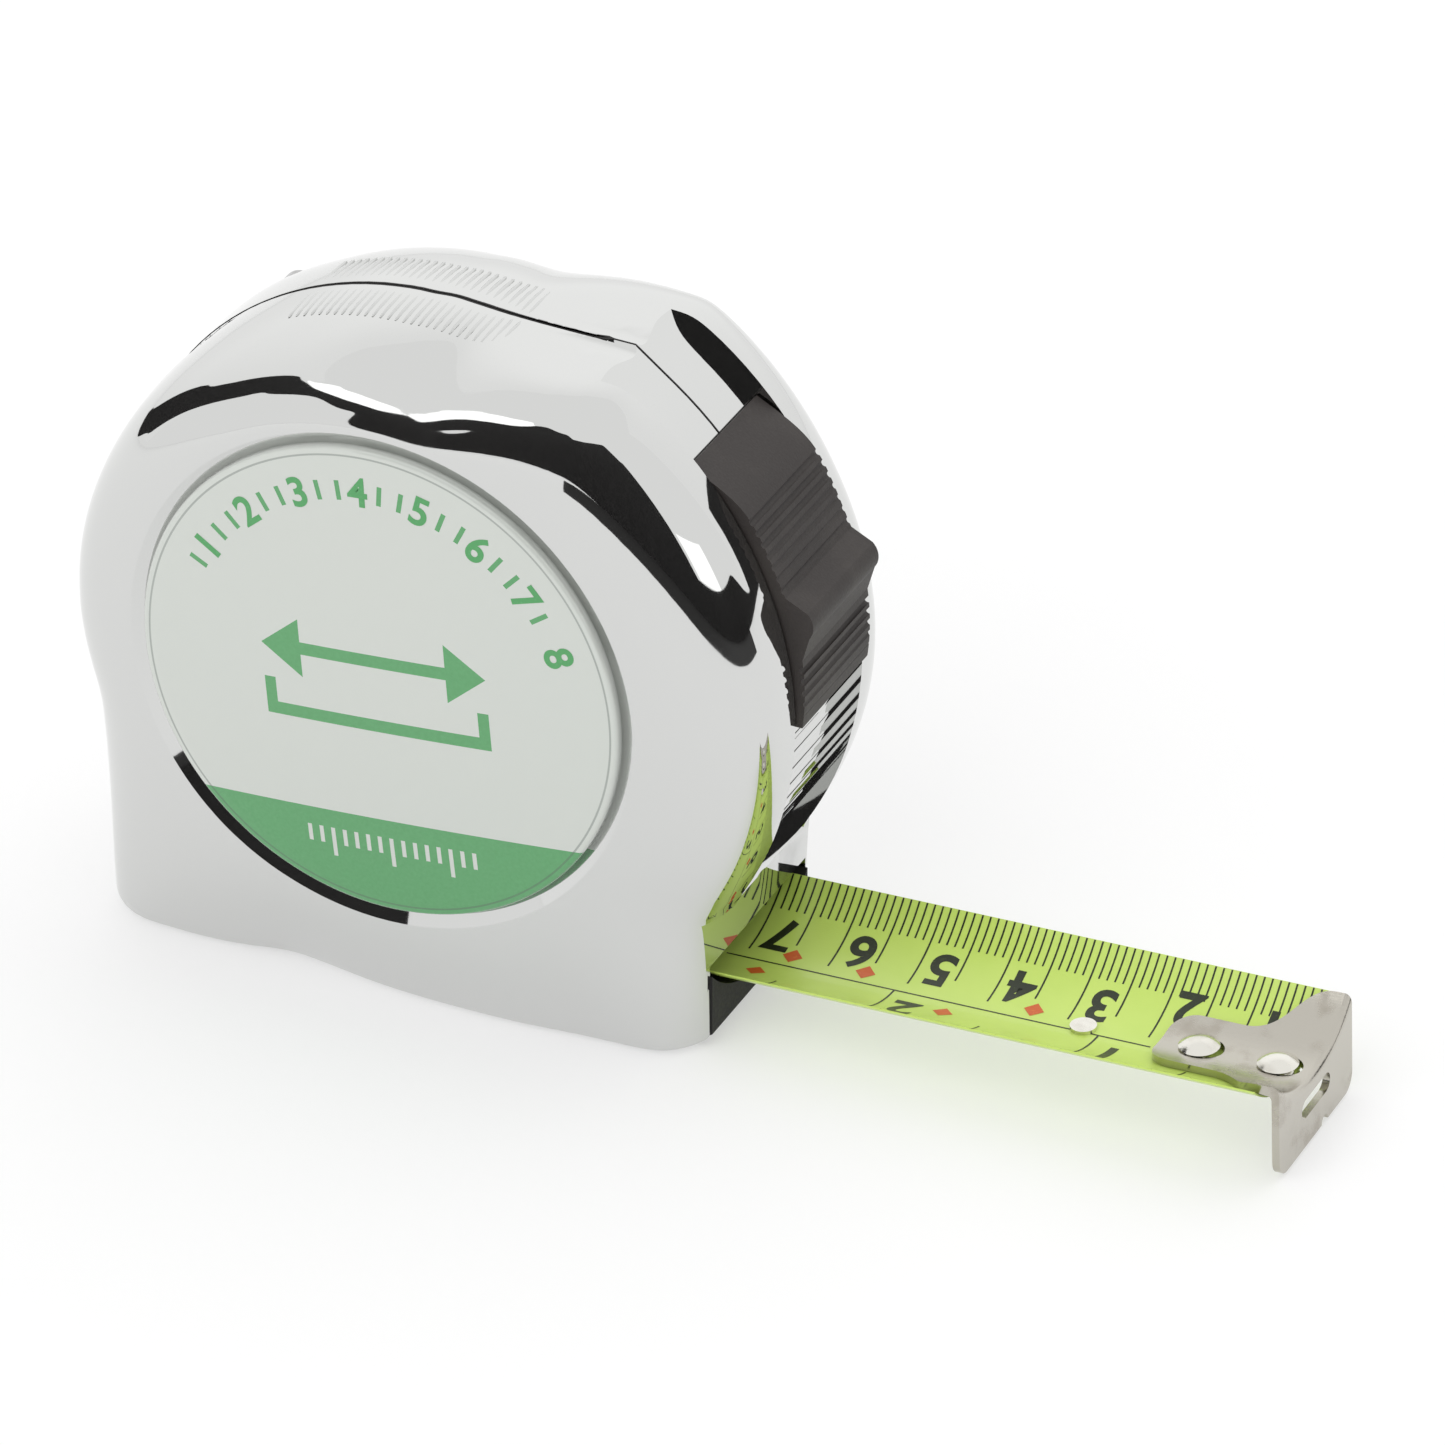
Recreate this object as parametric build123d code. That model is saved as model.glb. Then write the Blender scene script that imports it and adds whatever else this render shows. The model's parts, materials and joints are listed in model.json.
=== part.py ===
"""Pocket tape measure: chromed two-part case, sprung reel, curved steel blade, sliding end hook, thumb lock.

Millimetres. X runs along the blade to the hook, Y away from the label side, Z up.
The origin lies on the base, under the reel axis.
"""
import os
from math import asin, cos, degrees, hypot, pi, radians, sin, tan

from build123d import *

# Case outline, seen from the label side
AXIS_Z = 43.0          # reel axis over the base
BACK_R = 39.7          # round back and top
BACK_X = -2.5          # centre of the round back
TOP_IN = 0.65          # flat top, in from the round back
NOSE_R = 46.5          # front, round the reel axis
HEEL_IN = 2.4          # rear face of the foot, in from the round back
MOUTH_IN = 8.8         # front face of the mouth block, in from the nose
LEDGE_AT = -33.0       # degrees round the reel axis, where the nose ends over the mouth block
SINK = 6.0             # outline run on below the base, cut off afterwards
CROWN_SOFT = 1.0       # softness of the corners of the outline
WAIST_SOFT = 0.8
HEEL_SOFT = 3.0

# Case halves
NEAR_W = 20.4          # seam to label side
FAR_W = 19.5           # seam to clip side
FACE_R = 31.0          # flat middle of each side
WALL = 2.0
NOSE_WALL = 4.2
FLOOR = 1.2
BASE_ROLL = 2.5        # rolled edge round the base

# Shoulders: how full the case is between the seam and each side, by degrees round the reel axis
FULLNESS = ((-150, 4.7), (-124, 5.3), (-108, 2.3), (-72, 6.7), (-58, 4.7), (-42, 4.5), (-10, 7.2),
            (30, 5.6), (62, 6.0), (84, 2.1), (118, 2.2), (150, 4.3), (180, 5.3))
ROLL = 2.2
LEVELS = (0.0, 0.25, 0.45, 0.62, 0.75, 0.85, 0.92, 0.965, 0.99, 1.0)
STEPS = 120

# Thumb lock channel in the nose
CHANNEL_D = 2.0
CHANNEL_HALF = 9.0
CHANNEL_TOP = 52.0     # degrees over the reel axis, from where the floor runs out straight
FLUTE_R = 0.8          # flutes across the channel below the lock
FLUTE_PITCH = 3.6
FLUTE_COUNT = 9
FLUTE_TOP = -1.5

# Thumb lock, heights over the channel's floor
LOCK_TURN = 7.5        # degrees up from locked, as drawn, to released
LOCK_HIGH = 42.5
LOCK_LOW = 0.0
LOCK_H = 3.5
LOCK_TIP_H = 0.7
LOCK_HALF = 8.7
LOCK_GAP = 0.2
HUMP_H = 5.9
HUMP_AT = 16.3
RIDGE_R = 0.45
RIDGE_PITCH = 1.75
NECK_LOW = 14.0
NECK_HIGH = 26.0
NECK_HALF = 4.0
NECK_GAP = 0.4
STRAP_CLEAR = 2.6      # strap to the inside of the nose
STRAP_T = 2.1
STRAP_HALF = 5.0
STRAP_OVER = 1.1       # strap's low end, over the hollow of the blade at the mouth
PAD_L = 5.4
PAD_HALF = 4.0
PAD_GAP = 0.25

# Blade
BLADE_R = 16.5         # hollow of the printed side
BLADE_HALF = 43.4      # half angle: a 25 mm wide strip
BLADE_T = 0.2
TILT = 2.2             # the blade climbs to the hook, which stands on the table
TROUGH_Z = 4.9         # hollow of the blade at the mouth
ZERO = 68.4            # mouth to the zero of the scale
TAIL = -4.5            # inner end of the straight strip
HOOK_PLAY = 1.0
TIP_GAP = 0.1

# End hook and rivets
HOOK_T = 0.9
HOOK_GAP = 0.05
HOOK_HALF = 10.6
HOOK_TOP = 8.0
HOOK_DROP = 7.05       # below the hollow of the blade
HOOK_FOLD = 0.8        # outside and inside of the fold
HOOK_BEND = 0.6
HOOK_CORNER = 2.2
TONGUE_L = 18.0
TONGUE_HALF = 5.0
TONGUE_CORNER = 3.0
FLARE_L = 10.0         # start and end of the tongue's flare, back from the face
FLARE_END = 0.8
NAIL_W = 8.2
NAIL_H = 2.4
NAIL_Z = -2.1
NOTCH_R = 0.9
NOTCH_Y = 2.5
RIVET_AT = (3.7, 13.3)
RIVET_R = 1.9
RIVET_HEAD_R = 2.4
RIVET_HEAD_T = 0.8
RIVET_TAIL_R = 2.5
RIVET_TAIL_T = 0.45
TIP_RIVET_AT = 27.6
TIP_RIVET_R = 1.55
TIP_RIVET_T = 0.5

# Mouth bumper
MOUTH_HALF = 12.8
LIP_Z = 10.9
BUMPER_L = 4.0         # length inside the mouth
BUMPER_PROUD = 0.3
BUMPER_LOW = 0.3       # off the table
BUMPER_TOE = 1.5       # rise of the underside to the front
BLADE_ROOM = 0.7       # blade to bumper

# Reel
SPINDLE_R = 4.0
RUN_FIT = 0.05
HUB_BOSS_R = 6.5
BEARING_R = 7.0
BEARING_Y = 15.0
WASHER_T = 0.8
HUB_GAP = 0.1
FLANGE_R = 32.5
FLANGE_Y = 12.7
FLANGE_T = 0.8
DRUM_OUT = 20.0
DRUM_IN = 18.4
COIL_R = 28.5
COIL_HALF = 12.5
SPRING_R0 = 5.2
SPRING_HALF_TURNS = 12
SPRING_T = 0.4
SPRING_HALF = 11.5
LEAD_HALF = 12.3
LEAD_MEET = 238.0      # degrees round the axis, where the blade meets the coil
LEAD_CLEAR = 2.0
LEAD_GAP = 0.1

# Label
LABEL_R = 30.0
LABEL_SINK = 1.0
DISH_W = 1.9           # slope round the label
LABEL_RIM = 1.1
LABEL_DOME = 1.0

# Screws
SCREW_AT = ((217.3, 6.2), (51.7, 7.0), (134.5, 3.6))    # degrees round the axis, depth inside the outline
SCREW_R = 1.25
SCREW_HEAD_R = 2.6
SCREW_HEAD_T = 1.8
SCREW_DEPTH = 12.0
NEAR_BOSS_R = 3.5
FAR_BOSS_R = 4.4
WELL_R = 2.8
WELL_Y = 12.0
CENTRE_R = 1.6
CENTRE_HEAD_R = 3.2
CENTRE_HEAD_T = 1.4
CENTRE_TIP = 8.0

# Belt clip
CLIP_HALF = 9.0
CLIP_T = 1.0
CLIP_FOOT = (57.0, 68.0)
CLIP_OUT = 4.8
CLIP_ARM = (27.0, 53.0)
CLIP_TIP = (18.0, 22.6)
CLIP_BEND = 1.5
CLIP_SCREW_Z = 63.0
CLIP_SCREW_R = 1.5
CLIP_HEAD_R = 3.0
CLIP_HEAD_T = 1.6
CLIP_SCREW_Y = 15.5
CLIP_BOSS_R = 3.5

TOP_H = BACK_R - TOP_IN
HEEL = BACK_R - BACK_X - HEEL_IN
MOUTH_X = NOSE_R - MOUTH_IN
CHANNEL_R = NOSE_R - CHANNEL_D
CAVITY_R = NOSE_R - NOSE_WALL
STRAP_OUT = CAVITY_R - STRAP_CLEAR
STRAP_IN = STRAP_OUT - STRAP_T
STRAP_LOW = -degrees(asin((AXIS_Z - TROUGH_Z - STRAP_OVER) / STRAP_OUT))
PAD_X0 = STRAP_OUT * cos(radians(STRAP_LOW)) + 0.1
PAD_X1 = PAD_X0 + PAD_L
BUMPER_X0 = MOUTH_X - BUMPER_L
BUMPER_X1 = MOUTH_X + BUMPER_PROUD
NEAR_IN = NEAR_W - WALL
FAR_IN = FAR_W - WALL
HUB_Y = BEARING_Y - WASHER_T - HUB_GAP


def polar(radius, angle):
    """Point at a radius and an angle in degrees round the reel axis, as X and Z."""
    return (radius * cos(radians(angle)), AXIS_Z + radius * sin(radians(angle)))


def slab(sketch, y0, y1):
    """Sketch drawn in X and Z, made solid from y0 to y1."""
    return Pos(0, y0, 0) * extrude(Plane.XZ * sketch, amount=-(y1 - y0))


def rod(at, radius, y0, y1):
    """Round bar along Y."""
    return slab(Pos(*at) * Circle(radius), y0, y1)


def ring(r_in, r_out, y0, y1):
    """Ring round the reel axis."""
    return slab(Pos(0, AXIS_Z) * (Circle(r_out) - Circle(r_in)), y0, y1)


def sector(r_in, r_out, low, high, half):
    """Part of a ring round the reel axis, between two angles."""
    far = 3 * r_out
    turns = [low + (high - low) * i / 4 for i in range(5)]
    wedge = Polygon((0, AXIS_Z), *[polar(far, a) for a in turns], align=None)
    band = Pos(0, AXIS_Z) * (Circle(r_out) - Circle(r_in))
    return slab(band & wedge, -half, half)


def box(x0, x1, y0, y1, z0, z1):
    """Block between two corners."""
    return Pos((x0 + x1) / 2, (y0 + y1) / 2, (z0 + z1) / 2) * Box(x1 - x0, y1 - y0, z1 - z0)


def trough(x):
    """Height of the blade's hollow at a place along the case."""
    return TROUGH_Z + (x - MOUTH_X) * tan(radians(TILT))


def along_blade(shape):
    """Shape drawn on a level blade at the mouth, set at the blade's slope."""
    return Location((MOUTH_X, 0, TROUGH_Z), (0, -TILT, 0)) * shape


def lesser(a, b, soft):
    """Smaller of two reaches, with a soft corner."""
    return (a + b - hypot(a - b, soft)) / 2


def greater(a, b, soft):
    """Larger of two reaches, with a soft corner."""
    return (a + b + hypot(a - b, soft)) / 2


def reach(angle, inset, nose_r):
    """Distance from the reel axis to the side outline, drawn in by the inset."""
    c, s = cos(radians(angle)), sin(radians(angle))
    far = 4 * BACK_R
    shape = BACK_X * c + ((BACK_R - inset) ** 2 - (BACK_X * s) ** 2) ** 0.5
    if c > 0 and s > 0:
        shape = greater(shape, lesser(nose_r, min((TOP_H - inset) / s, far), CROWN_SOFT), WAIST_SOFT)
    elif c > 0:
        front = NOSE_R * cos(radians(LEDGE_AT)) - inset
        block = lesser(front / c, min((AXIS_Z + SINK) / max(-s, 0.1), far), HEEL_SOFT)
        shape = greater(nose_r, block, WAIST_SOFT) if s < sin(radians(-15)) else nose_r
    elif s < 0:
        block = lesser(min((HEEL - inset) / max(-c, 0.1), far), (AXIS_Z + SINK) / -s, HEEL_SOFT)
        shape = greater(shape, block, WAIST_SOFT)
    return shape


def fullness(angle):
    """How full the shoulder is in one direction, eased between the named directions."""
    stops = FULLNESS + ((FULLNESS[0][0] + 360, FULLNESS[0][1]),)
    turn = (angle - stops[0][0]) % 360 + stops[0][0]
    for (a0, f0), (a1, f1) in zip(stops, stops[1:]):
        if turn <= a1:
            ease = (1 - cos(pi * (turn - a0) / (a1 - a0))) / 2
            return f0 + (f1 - f0) * ease
    return stops[-1][1]


def loop(radius_at):
    """Closed sketch round the reel axis from a radius for each direction."""
    points = [polar(radius_at(360 * i / STEPS), 360 * i / STEPS) for i in range(STEPS)]
    line = Edge.make_spline([Vector(*p) for p in points], periodic=True,
                            parameters=[i / STEPS for i in range(STEPS + 1)])
    return make_face(line)


def half_body(side, width, inset, nose_r, low):
    """Half of the case from the seam to one side, rolled over its shoulders and cut off level below."""
    sections = []
    for level in LEVELS:
        def radius_at(angle):
            roll = (1 - level ** fullness(angle)) ** (1 / ROLL)
            return FACE_R + (reach(angle, inset, nose_r) - FACE_R) * roll
        sections.append(Pos(0, side * width * level, 0) * (Plane.XZ * loop(radius_at)))
    return loft(sections) & box(-3 * BACK_R, 3 * BACK_R, -2 * width, 2 * width, low, 3 * AXIS_Z)


def roll_base(half):
    """Half of the case with the edge round its base rolled, apart from the seam."""
    edges = half.edges().filter_by_position(Axis.Z, -0.01, 0.01)
    return fillet([e for e in edges if abs(e.center().Y) > WALL], BASE_ROLL)


def screw_points():
    """Places of the case screws, in X and Z."""
    return [polar(reach(angle, 0, NOSE_R) - depth, angle) for angle, depth in SCREW_AT]


def case_half(side):
    """Hollow half of the case, without the pieces that only one half has."""
    width = FAR_W if side > 0 else NEAR_W
    outer = roll_base(half_body(side, width, 0, NOSE_R, 0))
    half = outer - half_body(side, width - WALL, WALL, CAVITY_R, FLOOR)
    boss_r = FAR_BOSS_R if side > 0 else NEAR_BOSS_R
    for at in screw_points():
        half += rod(at, boss_r, 0, side * (width - 0.5 * WALL)) & outer
    half += ring(SPINDLE_R, BEARING_R, side * BEARING_Y, side * (width - 0.5 * WALL))
    half -= rod((0, AXIS_Z), SPINDLE_R, 0, side * (width - WALL))
    half -= channel()
    half -= sector(CAVITY_R - WALL, NOSE_R, NECK_LOW - NECK_GAP, NECK_HIGH + LOCK_TURN + NECK_GAP,
                   NECK_HALF + NECK_GAP)
    half -= flutes()
    ledge_z = polar(NOSE_R, LEDGE_AT)[1]
    half -= box(MOUTH_X, 2 * NOSE_R, -2 * width, 2 * width, -1, ledge_z)
    return half - box(BUMPER_X0, 2 * NOSE_R, -MOUTH_HALF, MOUTH_HALF, -1, LIP_Z)


def channel():
    """Channel for the thumb lock, whose floor runs out straight over its top end."""
    a = radians(CHANNEL_TOP)
    top = polar(CHANNEL_R, CHANNEL_TOP)
    far = 3 * NOSE_R
    rim = [top, (top[0] - NOSE_R * sin(a), top[1] + NOSE_R * cos(a)), polar(far, CHANNEL_TOP),
           polar(far, (CHANNEL_TOP + LEDGE_AT) / 2), polar(far, LEDGE_AT), polar(CHANNEL_R, LEDGE_AT)]
    floor = CenterArc((0, AXIS_Z), CHANNEL_R, LEDGE_AT, CHANNEL_TOP - LEDGE_AT)
    return slab(make_face([floor] + [Line(p, q) for p, q in zip(rim, rim[1:])]), -CHANNEL_HALF, CHANNEL_HALF)


def flutes():
    """Flutes across the channel below the thumb lock."""
    cuts = [rod(polar(CHANNEL_R + 0.3, FLUTE_TOP - FLUTE_PITCH * i), FLUTE_R, -CHANNEL_HALF, CHANNEL_HALF)
            for i in range(FLUTE_COUNT)]
    return Compound(cuts)


def make_case_near():
    """Label half: pilot holes and the dish for the label."""
    half = case_half(-1)
    for at in screw_points():
        half -= rod(at, SCREW_R, -SCREW_DEPTH, 0)
    dish_r = LABEL_R + DISH_W
    dish = Polygon((0, -NEAR_W + LABEL_SINK), (LABEL_R, -NEAR_W + LABEL_SINK),
                   (dish_r, -NEAR_W), (dish_r, -NEAR_W - 3), (0, -NEAR_W - 3), align=None)
    return half - Pos(0, 0, AXIS_Z) * revolve(dish, Axis.Y)


def make_case_far():
    """Clip half: screw wells, the centre screw's seat and the clip's boss."""
    half = case_half(1)
    for at in screw_points():
        half -= rod(at, SCREW_R, 0, WELL_Y)
        half -= rod(at, WELL_R, WELL_Y, FAR_W + 5)
    half -= rod((0, AXIS_Z), CENTRE_R, FAR_IN, FAR_W)
    half -= rod((0, AXIS_Z), CENTRE_HEAD_R, FAR_W - CENTRE_HEAD_T, FAR_W + 1)
    half += rod((0, CLIP_SCREW_Z), CLIP_BOSS_R, CLIP_SCREW_Y, FAR_IN)
    half -= rod((0, CLIP_SCREW_Z), CLIP_SCREW_R, CLIP_SCREW_Y, FAR_W)
    return half


def make_label():
    """Round label under a clear dome."""
    y0 = -NEAR_W + LABEL_SINK
    y1 = y0 - LABEL_RIM
    edges = [Line((0, y0), (LABEL_R, y0)), Line((LABEL_R, y0), (LABEL_R, y1)),
             SagittaArc((LABEL_R, y1), (-LABEL_R, y1), LABEL_DOME)]
    face = make_face([edges[0], edges[1], edges[2], Line((-LABEL_R, y1), (-LABEL_R, y0)),
                      Line((-LABEL_R, y0), (0, y0))])
    face &= Polygon((0, y0 + 5), (LABEL_R + 5, y0 + 5), (LABEL_R + 5, y1 - 9), (0, y1 - 9), align=None)
    return Pos(0, 0, AXIS_Z) * revolve(face, Axis.Y)


def make_bumper():
    """Black mouth piece under and beside the blade, its underside rising to the front."""
    profile = Polygon((BUMPER_X0, BUMPER_LOW), (MOUTH_X - BUMPER_L / 2, BUMPER_LOW),
                      (BUMPER_X1, BUMPER_LOW + BUMPER_TOE), (BUMPER_X1, LIP_Z), (BUMPER_X0, LIP_Z), align=None)
    block = slab(profile, -MOUTH_HALF, MOUTH_HALF)
    hollow = Plane.YZ * (Pos(0, TROUGH_Z + BLADE_R) * Circle(BLADE_R + BLADE_T + BLADE_ROOM))
    return block - extrude(hollow, amount=2 * NOSE_R)


def make_spindle():
    """Steel pin between the halves, slotted for the spring and tapped for the centre screw."""
    pin = rod((0, AXIS_Z), SPINDLE_R, -NEAR_IN, FAR_IN)
    pin -= rod((0, AXIS_Z), CENTRE_R, CENTRE_TIP, FAR_IN)
    return pin - box(0, SPINDLE_R + 1, -SPRING_HALF, CENTRE_TIP - 2, AXIS_Z - 0.4, AXIS_Z + 0.4)


def make_washer(side):
    """Thrust washer between the reel and a case half."""
    return ring(SPINDLE_R, BEARING_R, side * (BEARING_Y - WASHER_T), side * BEARING_Y)


def make_reel_drum():
    """Drum with the far flange and its hub."""
    drum = ring(DRUM_IN, DRUM_OUT, -FLANGE_Y, FLANGE_Y)
    drum += ring(SPINDLE_R + RUN_FIT, FLANGE_R, FLANGE_Y, FLANGE_Y + FLANGE_T)
    return drum + ring(SPINDLE_R + RUN_FIT, HUB_BOSS_R, FLANGE_Y, HUB_Y)


def make_reel_cover():
    """Near flange, which closes the drum over the spring."""
    disc = ring(SPINDLE_R + RUN_FIT, FLANGE_R, -FLANGE_Y - FLANGE_T, -FLANGE_Y)
    return disc + ring(SPINDLE_R + RUN_FIT, HUB_BOSS_R, -HUB_Y, -FLANGE_Y)


def make_coil():
    """Wound length of the blade on the drum."""
    return ring(DRUM_OUT, COIL_R, -COIL_HALF, COIL_HALF)


def make_mainspring():
    """Flat spiral spring, inner end at the spindle, outer end at the drum."""
    step = (DRUM_IN - SPRING_T - SPRING_R0) / SPRING_HALF_TURNS
    inside = []
    outside = []
    for i in range(SPRING_HALF_TURNS):
        centre = (step * (i % 2), AXIS_Z)
        radius = SPRING_R0 + step * i
        inside.append(CenterArc(centre, radius, 180 * (i % 2), 180))
        outside.append(CenterArc(centre, radius + SPRING_T, 180 * (i % 2), 180))
    start = Line(inside[0] @ 0, outside[0] @ 0)
    end = Line(inside[-1] @ 1, outside[-1] @ 1)
    face = make_face([start, end] + inside + outside)
    return slab(face, -SPRING_HALF, SPRING_HALF)


def blade_section(r_in, r_out, half_angle):
    """Slice of a curved strip across the blade, hollow upwards."""
    arcs = [CenterArc((0, BLADE_R), r, -90 - half_angle, 2 * half_angle) for r in (r_in, r_out)]
    sides = [Line(arcs[0] @ t, arcs[1] @ t) for t in (0, 1)]
    return Plane.YZ * make_face(arcs + sides)


def upright(x, y, radius, z0, z1):
    """Round bar across the blade's thickness."""
    return Pos(x, y, z0) * extrude(Circle(radius), amount=z1 - z0)


def make_blade():
    """Straight run of the blade from inside the mouth to the hook."""
    tip = ZERO - HOOK_PLAY - HOOK_BEND - TIP_GAP
    strip = Pos(TAIL, 0, 0) * extrude(blade_section(BLADE_R, BLADE_R + BLADE_T, BLADE_HALF), amount=tip - TAIL)
    for back in RIVET_AT:
        strip -= upright(ZERO - back, 0, RIVET_R, -2, 2)
    return along_blade(strip)


def make_blade_lead():
    """Run of blade inside the case, under the brake pad and up to the coil."""
    skin = BLADE_T / 2
    meet = polar(COIL_R + skin + LEAD_GAP, LEAD_MEET)
    along = (sin(radians(LEAD_MEET)), -cos(radians(LEAD_MEET)))
    flat = [(x, trough(x) - skin) for x in (MOUTH_X + TAIL - LEAD_GAP, PAD_X0 - LEAD_CLEAR)]
    rise = Spline(flat[1], meet, tangents=((-cos(radians(TILT)), -sin(radians(TILT))), along))
    return slab(trace(Line(*flat) + rise, line_width=BLADE_T), -LEAD_HALF, LEAD_HALF)


def make_rivet(back):
    """Rivet through the hook's slot, domed above, clinched below."""
    x = ZERO - back
    seat = HOOK_GAP + HOOK_T + 0.3
    low = -BLADE_T - RIVET_TAIL_T
    body = upright(x, 0, RIVET_R, low, seat)
    body += upright(x, 0, RIVET_TAIL_R, low, -BLADE_T)
    cap_r = (RIVET_HEAD_R ** 2 + RIVET_HEAD_T ** 2) / (2 * RIVET_HEAD_T)
    cap = Pos(x, 0, seat + RIVET_HEAD_T - cap_r) * Sphere(cap_r)
    body += cap & upright(x, 0, 2 * RIVET_HEAD_R, seat, seat + 2 * RIVET_HEAD_T)
    return along_blade(body)


def make_tip_rivet():
    """Small flat stud set in the blade behind the hook."""
    x = ZERO - TIP_RIVET_AT
    disc = upright(x, 0, TIP_RIVET_R, -1, TIP_RIVET_T)
    return along_blade(disc & Pos(x, 0, BLADE_R) * Rot(0, 90, 0) * Cylinder(BLADE_R, 4 * TIP_RIVET_R))


def make_end_hook():
    """Steel hook: curved tongue on the blade, slotted for its play, and the down-turned face."""
    r_out = BLADE_R - HOOK_GAP
    r_in = r_out - HOOK_T
    back = ZERO - TONGUE_L
    wide = HOOK_HALF
    sheet = Pos(back, 0, 0) * extrude(blade_section(r_in, r_out, BLADE_HALF), amount=TONGUE_L + HOOK_T)
    start, end, tip = ZERO - FLARE_L, ZERO - FLARE_END, ZERO + 2 * HOOK_T
    sides = []
    for y, wide_y in ((-TONGUE_HALF, -wide), (TONGUE_HALF, wide)):
        sides += [Line((back, y), (start, y)), Line((end, wide_y), (tip, wide_y)),
                  Spline((start, y), (end, wide_y), tangents=((1, 0), (1, 0)))]
    ends = [Line((x, -y), (x, y)) for x, y in ((back, TONGUE_HALF), (tip, wide))]
    plan = make_face(sides + ends)
    plan = fillet([v for v in plan.vertices() if v.X < back + 0.1], TONGUE_CORNER)
    tongue = sheet & Pos(0, 0, -1) * extrude(plan, amount=BLADE_R)
    for at in RIVET_AT:
        slot = Pos(ZERO - at + HOOK_PLAY / 2, 0) * SlotCenterToCenter(HOOK_PLAY, 2 * (RIVET_R + RUN_FIT))
        tongue -= Pos(0, 0, -1) * extrude(slot, amount=5)
    plate = Pos(0, (HOOK_TOP - HOOK_DROP) / 2) * RectangleRounded(2 * HOOK_HALF, HOOK_TOP + HOOK_DROP, HOOK_CORNER)
    plate -= Pos(0, BLADE_R) * Circle(r_in)
    plate -= Pos(0, NAIL_Z) * SlotOverall(NAIL_W, NAIL_H)
    plate -= Pos(NOTCH_Y, -HOOK_DROP) * Circle(NOTCH_R)
    face = Pos(ZERO, 0, 0) * extrude(Plane.YZ * plate, amount=HOOK_T)
    hook = fold(tongue + face, ZERO + HOOK_T, r_in, HOOK_FOLD)
    return along_blade(fold(hook, ZERO, r_out, HOOK_BEND))


def fold(hook, x, arc, radius):
    """Round one edge of the hook's fold, found by its place and its arc."""
    edges = [e for e in hook.edges().filter_by(GeomType.CIRCLE)
             if abs(e.radius - arc) < 0.01 and abs(e.center().X - x) < 0.01]
    return fillet(edges, radius)


def lock_profile():
    """Side outline of the thumb piece: thin top end, flat back, finger hump, lower grip."""
    def at(height, angle):
        return polar(CHANNEL_R + height, angle)
    top = Spline(at(LOCK_TIP_H, LOCK_HIGH), at(0.6 * LOCK_H, LOCK_HIGH - 4.5), at(0.94 * LOCK_H, LOCK_HIGH - 9),
                 at(LOCK_H, LOCK_HIGH - 14.5), at(LOCK_H, HUMP_AT + 3.7))
    rise = Line(at(LOCK_H, HUMP_AT + 3.7), at(HUMP_H - 0.3, HUMP_AT + 1.2))
    crest = ThreePointArc(at(HUMP_H - 0.3, HUMP_AT + 1.2), at(HUMP_H, HUMP_AT - 0.4), at(HUMP_H - 0.9, HUMP_AT - 2.4))
    fall = Line(at(HUMP_H - 0.9, HUMP_AT - 2.4), at(LOCK_H, HUMP_AT - 5.7))
    low = ThreePointArc(at(LOCK_H, HUMP_AT - 5.7), at(0.92 * LOCK_H, (HUMP_AT - 5.7 + LOCK_LOW) / 2),
                        at(0.78 * LOCK_H, LOCK_LOW))
    end = Line(at(0.78 * LOCK_H, LOCK_LOW), at(LOCK_GAP, LOCK_LOW))
    back = CenterArc((0, AXIS_Z), CHANNEL_R + LOCK_GAP, LOCK_LOW, LOCK_HIGH - LOCK_LOW)
    tip = Line(at(LOCK_GAP, LOCK_HIGH), at(LOCK_TIP_H, LOCK_HIGH))
    return make_face([top, rise, crest, fall, low, end, back, tip])


def make_thumb_lock():
    """Thumb piece, its neck through the nose and the strap that carries the brake pad."""
    lock = slab(lock_profile(), -LOCK_HALF, LOCK_HALF)
    crest = CHANNEL_R + LOCK_H
    cuts = [rod(polar(crest + 0.15, LOCK_HIGH - 11 - RIDGE_PITCH * i), RIDGE_R, -LOCK_HALF, LOCK_HALF)
            for i in range(7)]
    cuts += [rod(polar(crest - 0.15, HUMP_AT - 7.3 - RIDGE_PITCH * i), RIDGE_R, -LOCK_HALF, LOCK_HALF)
             for i in range(5)]
    lock -= Compound(cuts)
    lock += sector(STRAP_IN, CHANNEL_R + LOCK_GAP + 0.5, NECK_LOW, NECK_HIGH, NECK_HALF)
    return lock + sector(STRAP_IN, STRAP_OUT, STRAP_LOW, NECK_HIGH, STRAP_HALF)


def make_brake_pad():
    """Rubber pad under the strap's end, pressed into the hollow of the blade."""
    crown = BLADE_R - (BLADE_R ** 2 - PAD_HALF ** 2) ** 0.5
    low = [(x, trough(x) + crown + PAD_GAP) for x in (PAD_X0, PAD_X1)]
    pad = slab(Polygon(*low, (PAD_X1, AXIS_Z), (PAD_X0, AXIS_Z), align=None), -PAD_HALF, PAD_HALF)
    return pad - rod((0, AXIS_Z), STRAP_OUT, -2 * PAD_HALF, 2 * PAD_HALF)


def make_case_screw(at):
    """Screw from the clip side into the label half."""
    head = rod(at, SCREW_HEAD_R, WELL_Y, WELL_Y + SCREW_HEAD_T)
    head += rod(at, SCREW_R, -SCREW_DEPTH, WELL_Y)
    return head - drive(at, WELL_Y + SCREW_HEAD_T)


def drive(at, y):
    """Cross recess in a screw head."""
    arm = Rectangle(2.6, 0.7) + Rectangle(0.7, 2.6)
    return slab(Pos(*at) * arm, y - 0.8, y + 1)


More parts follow.
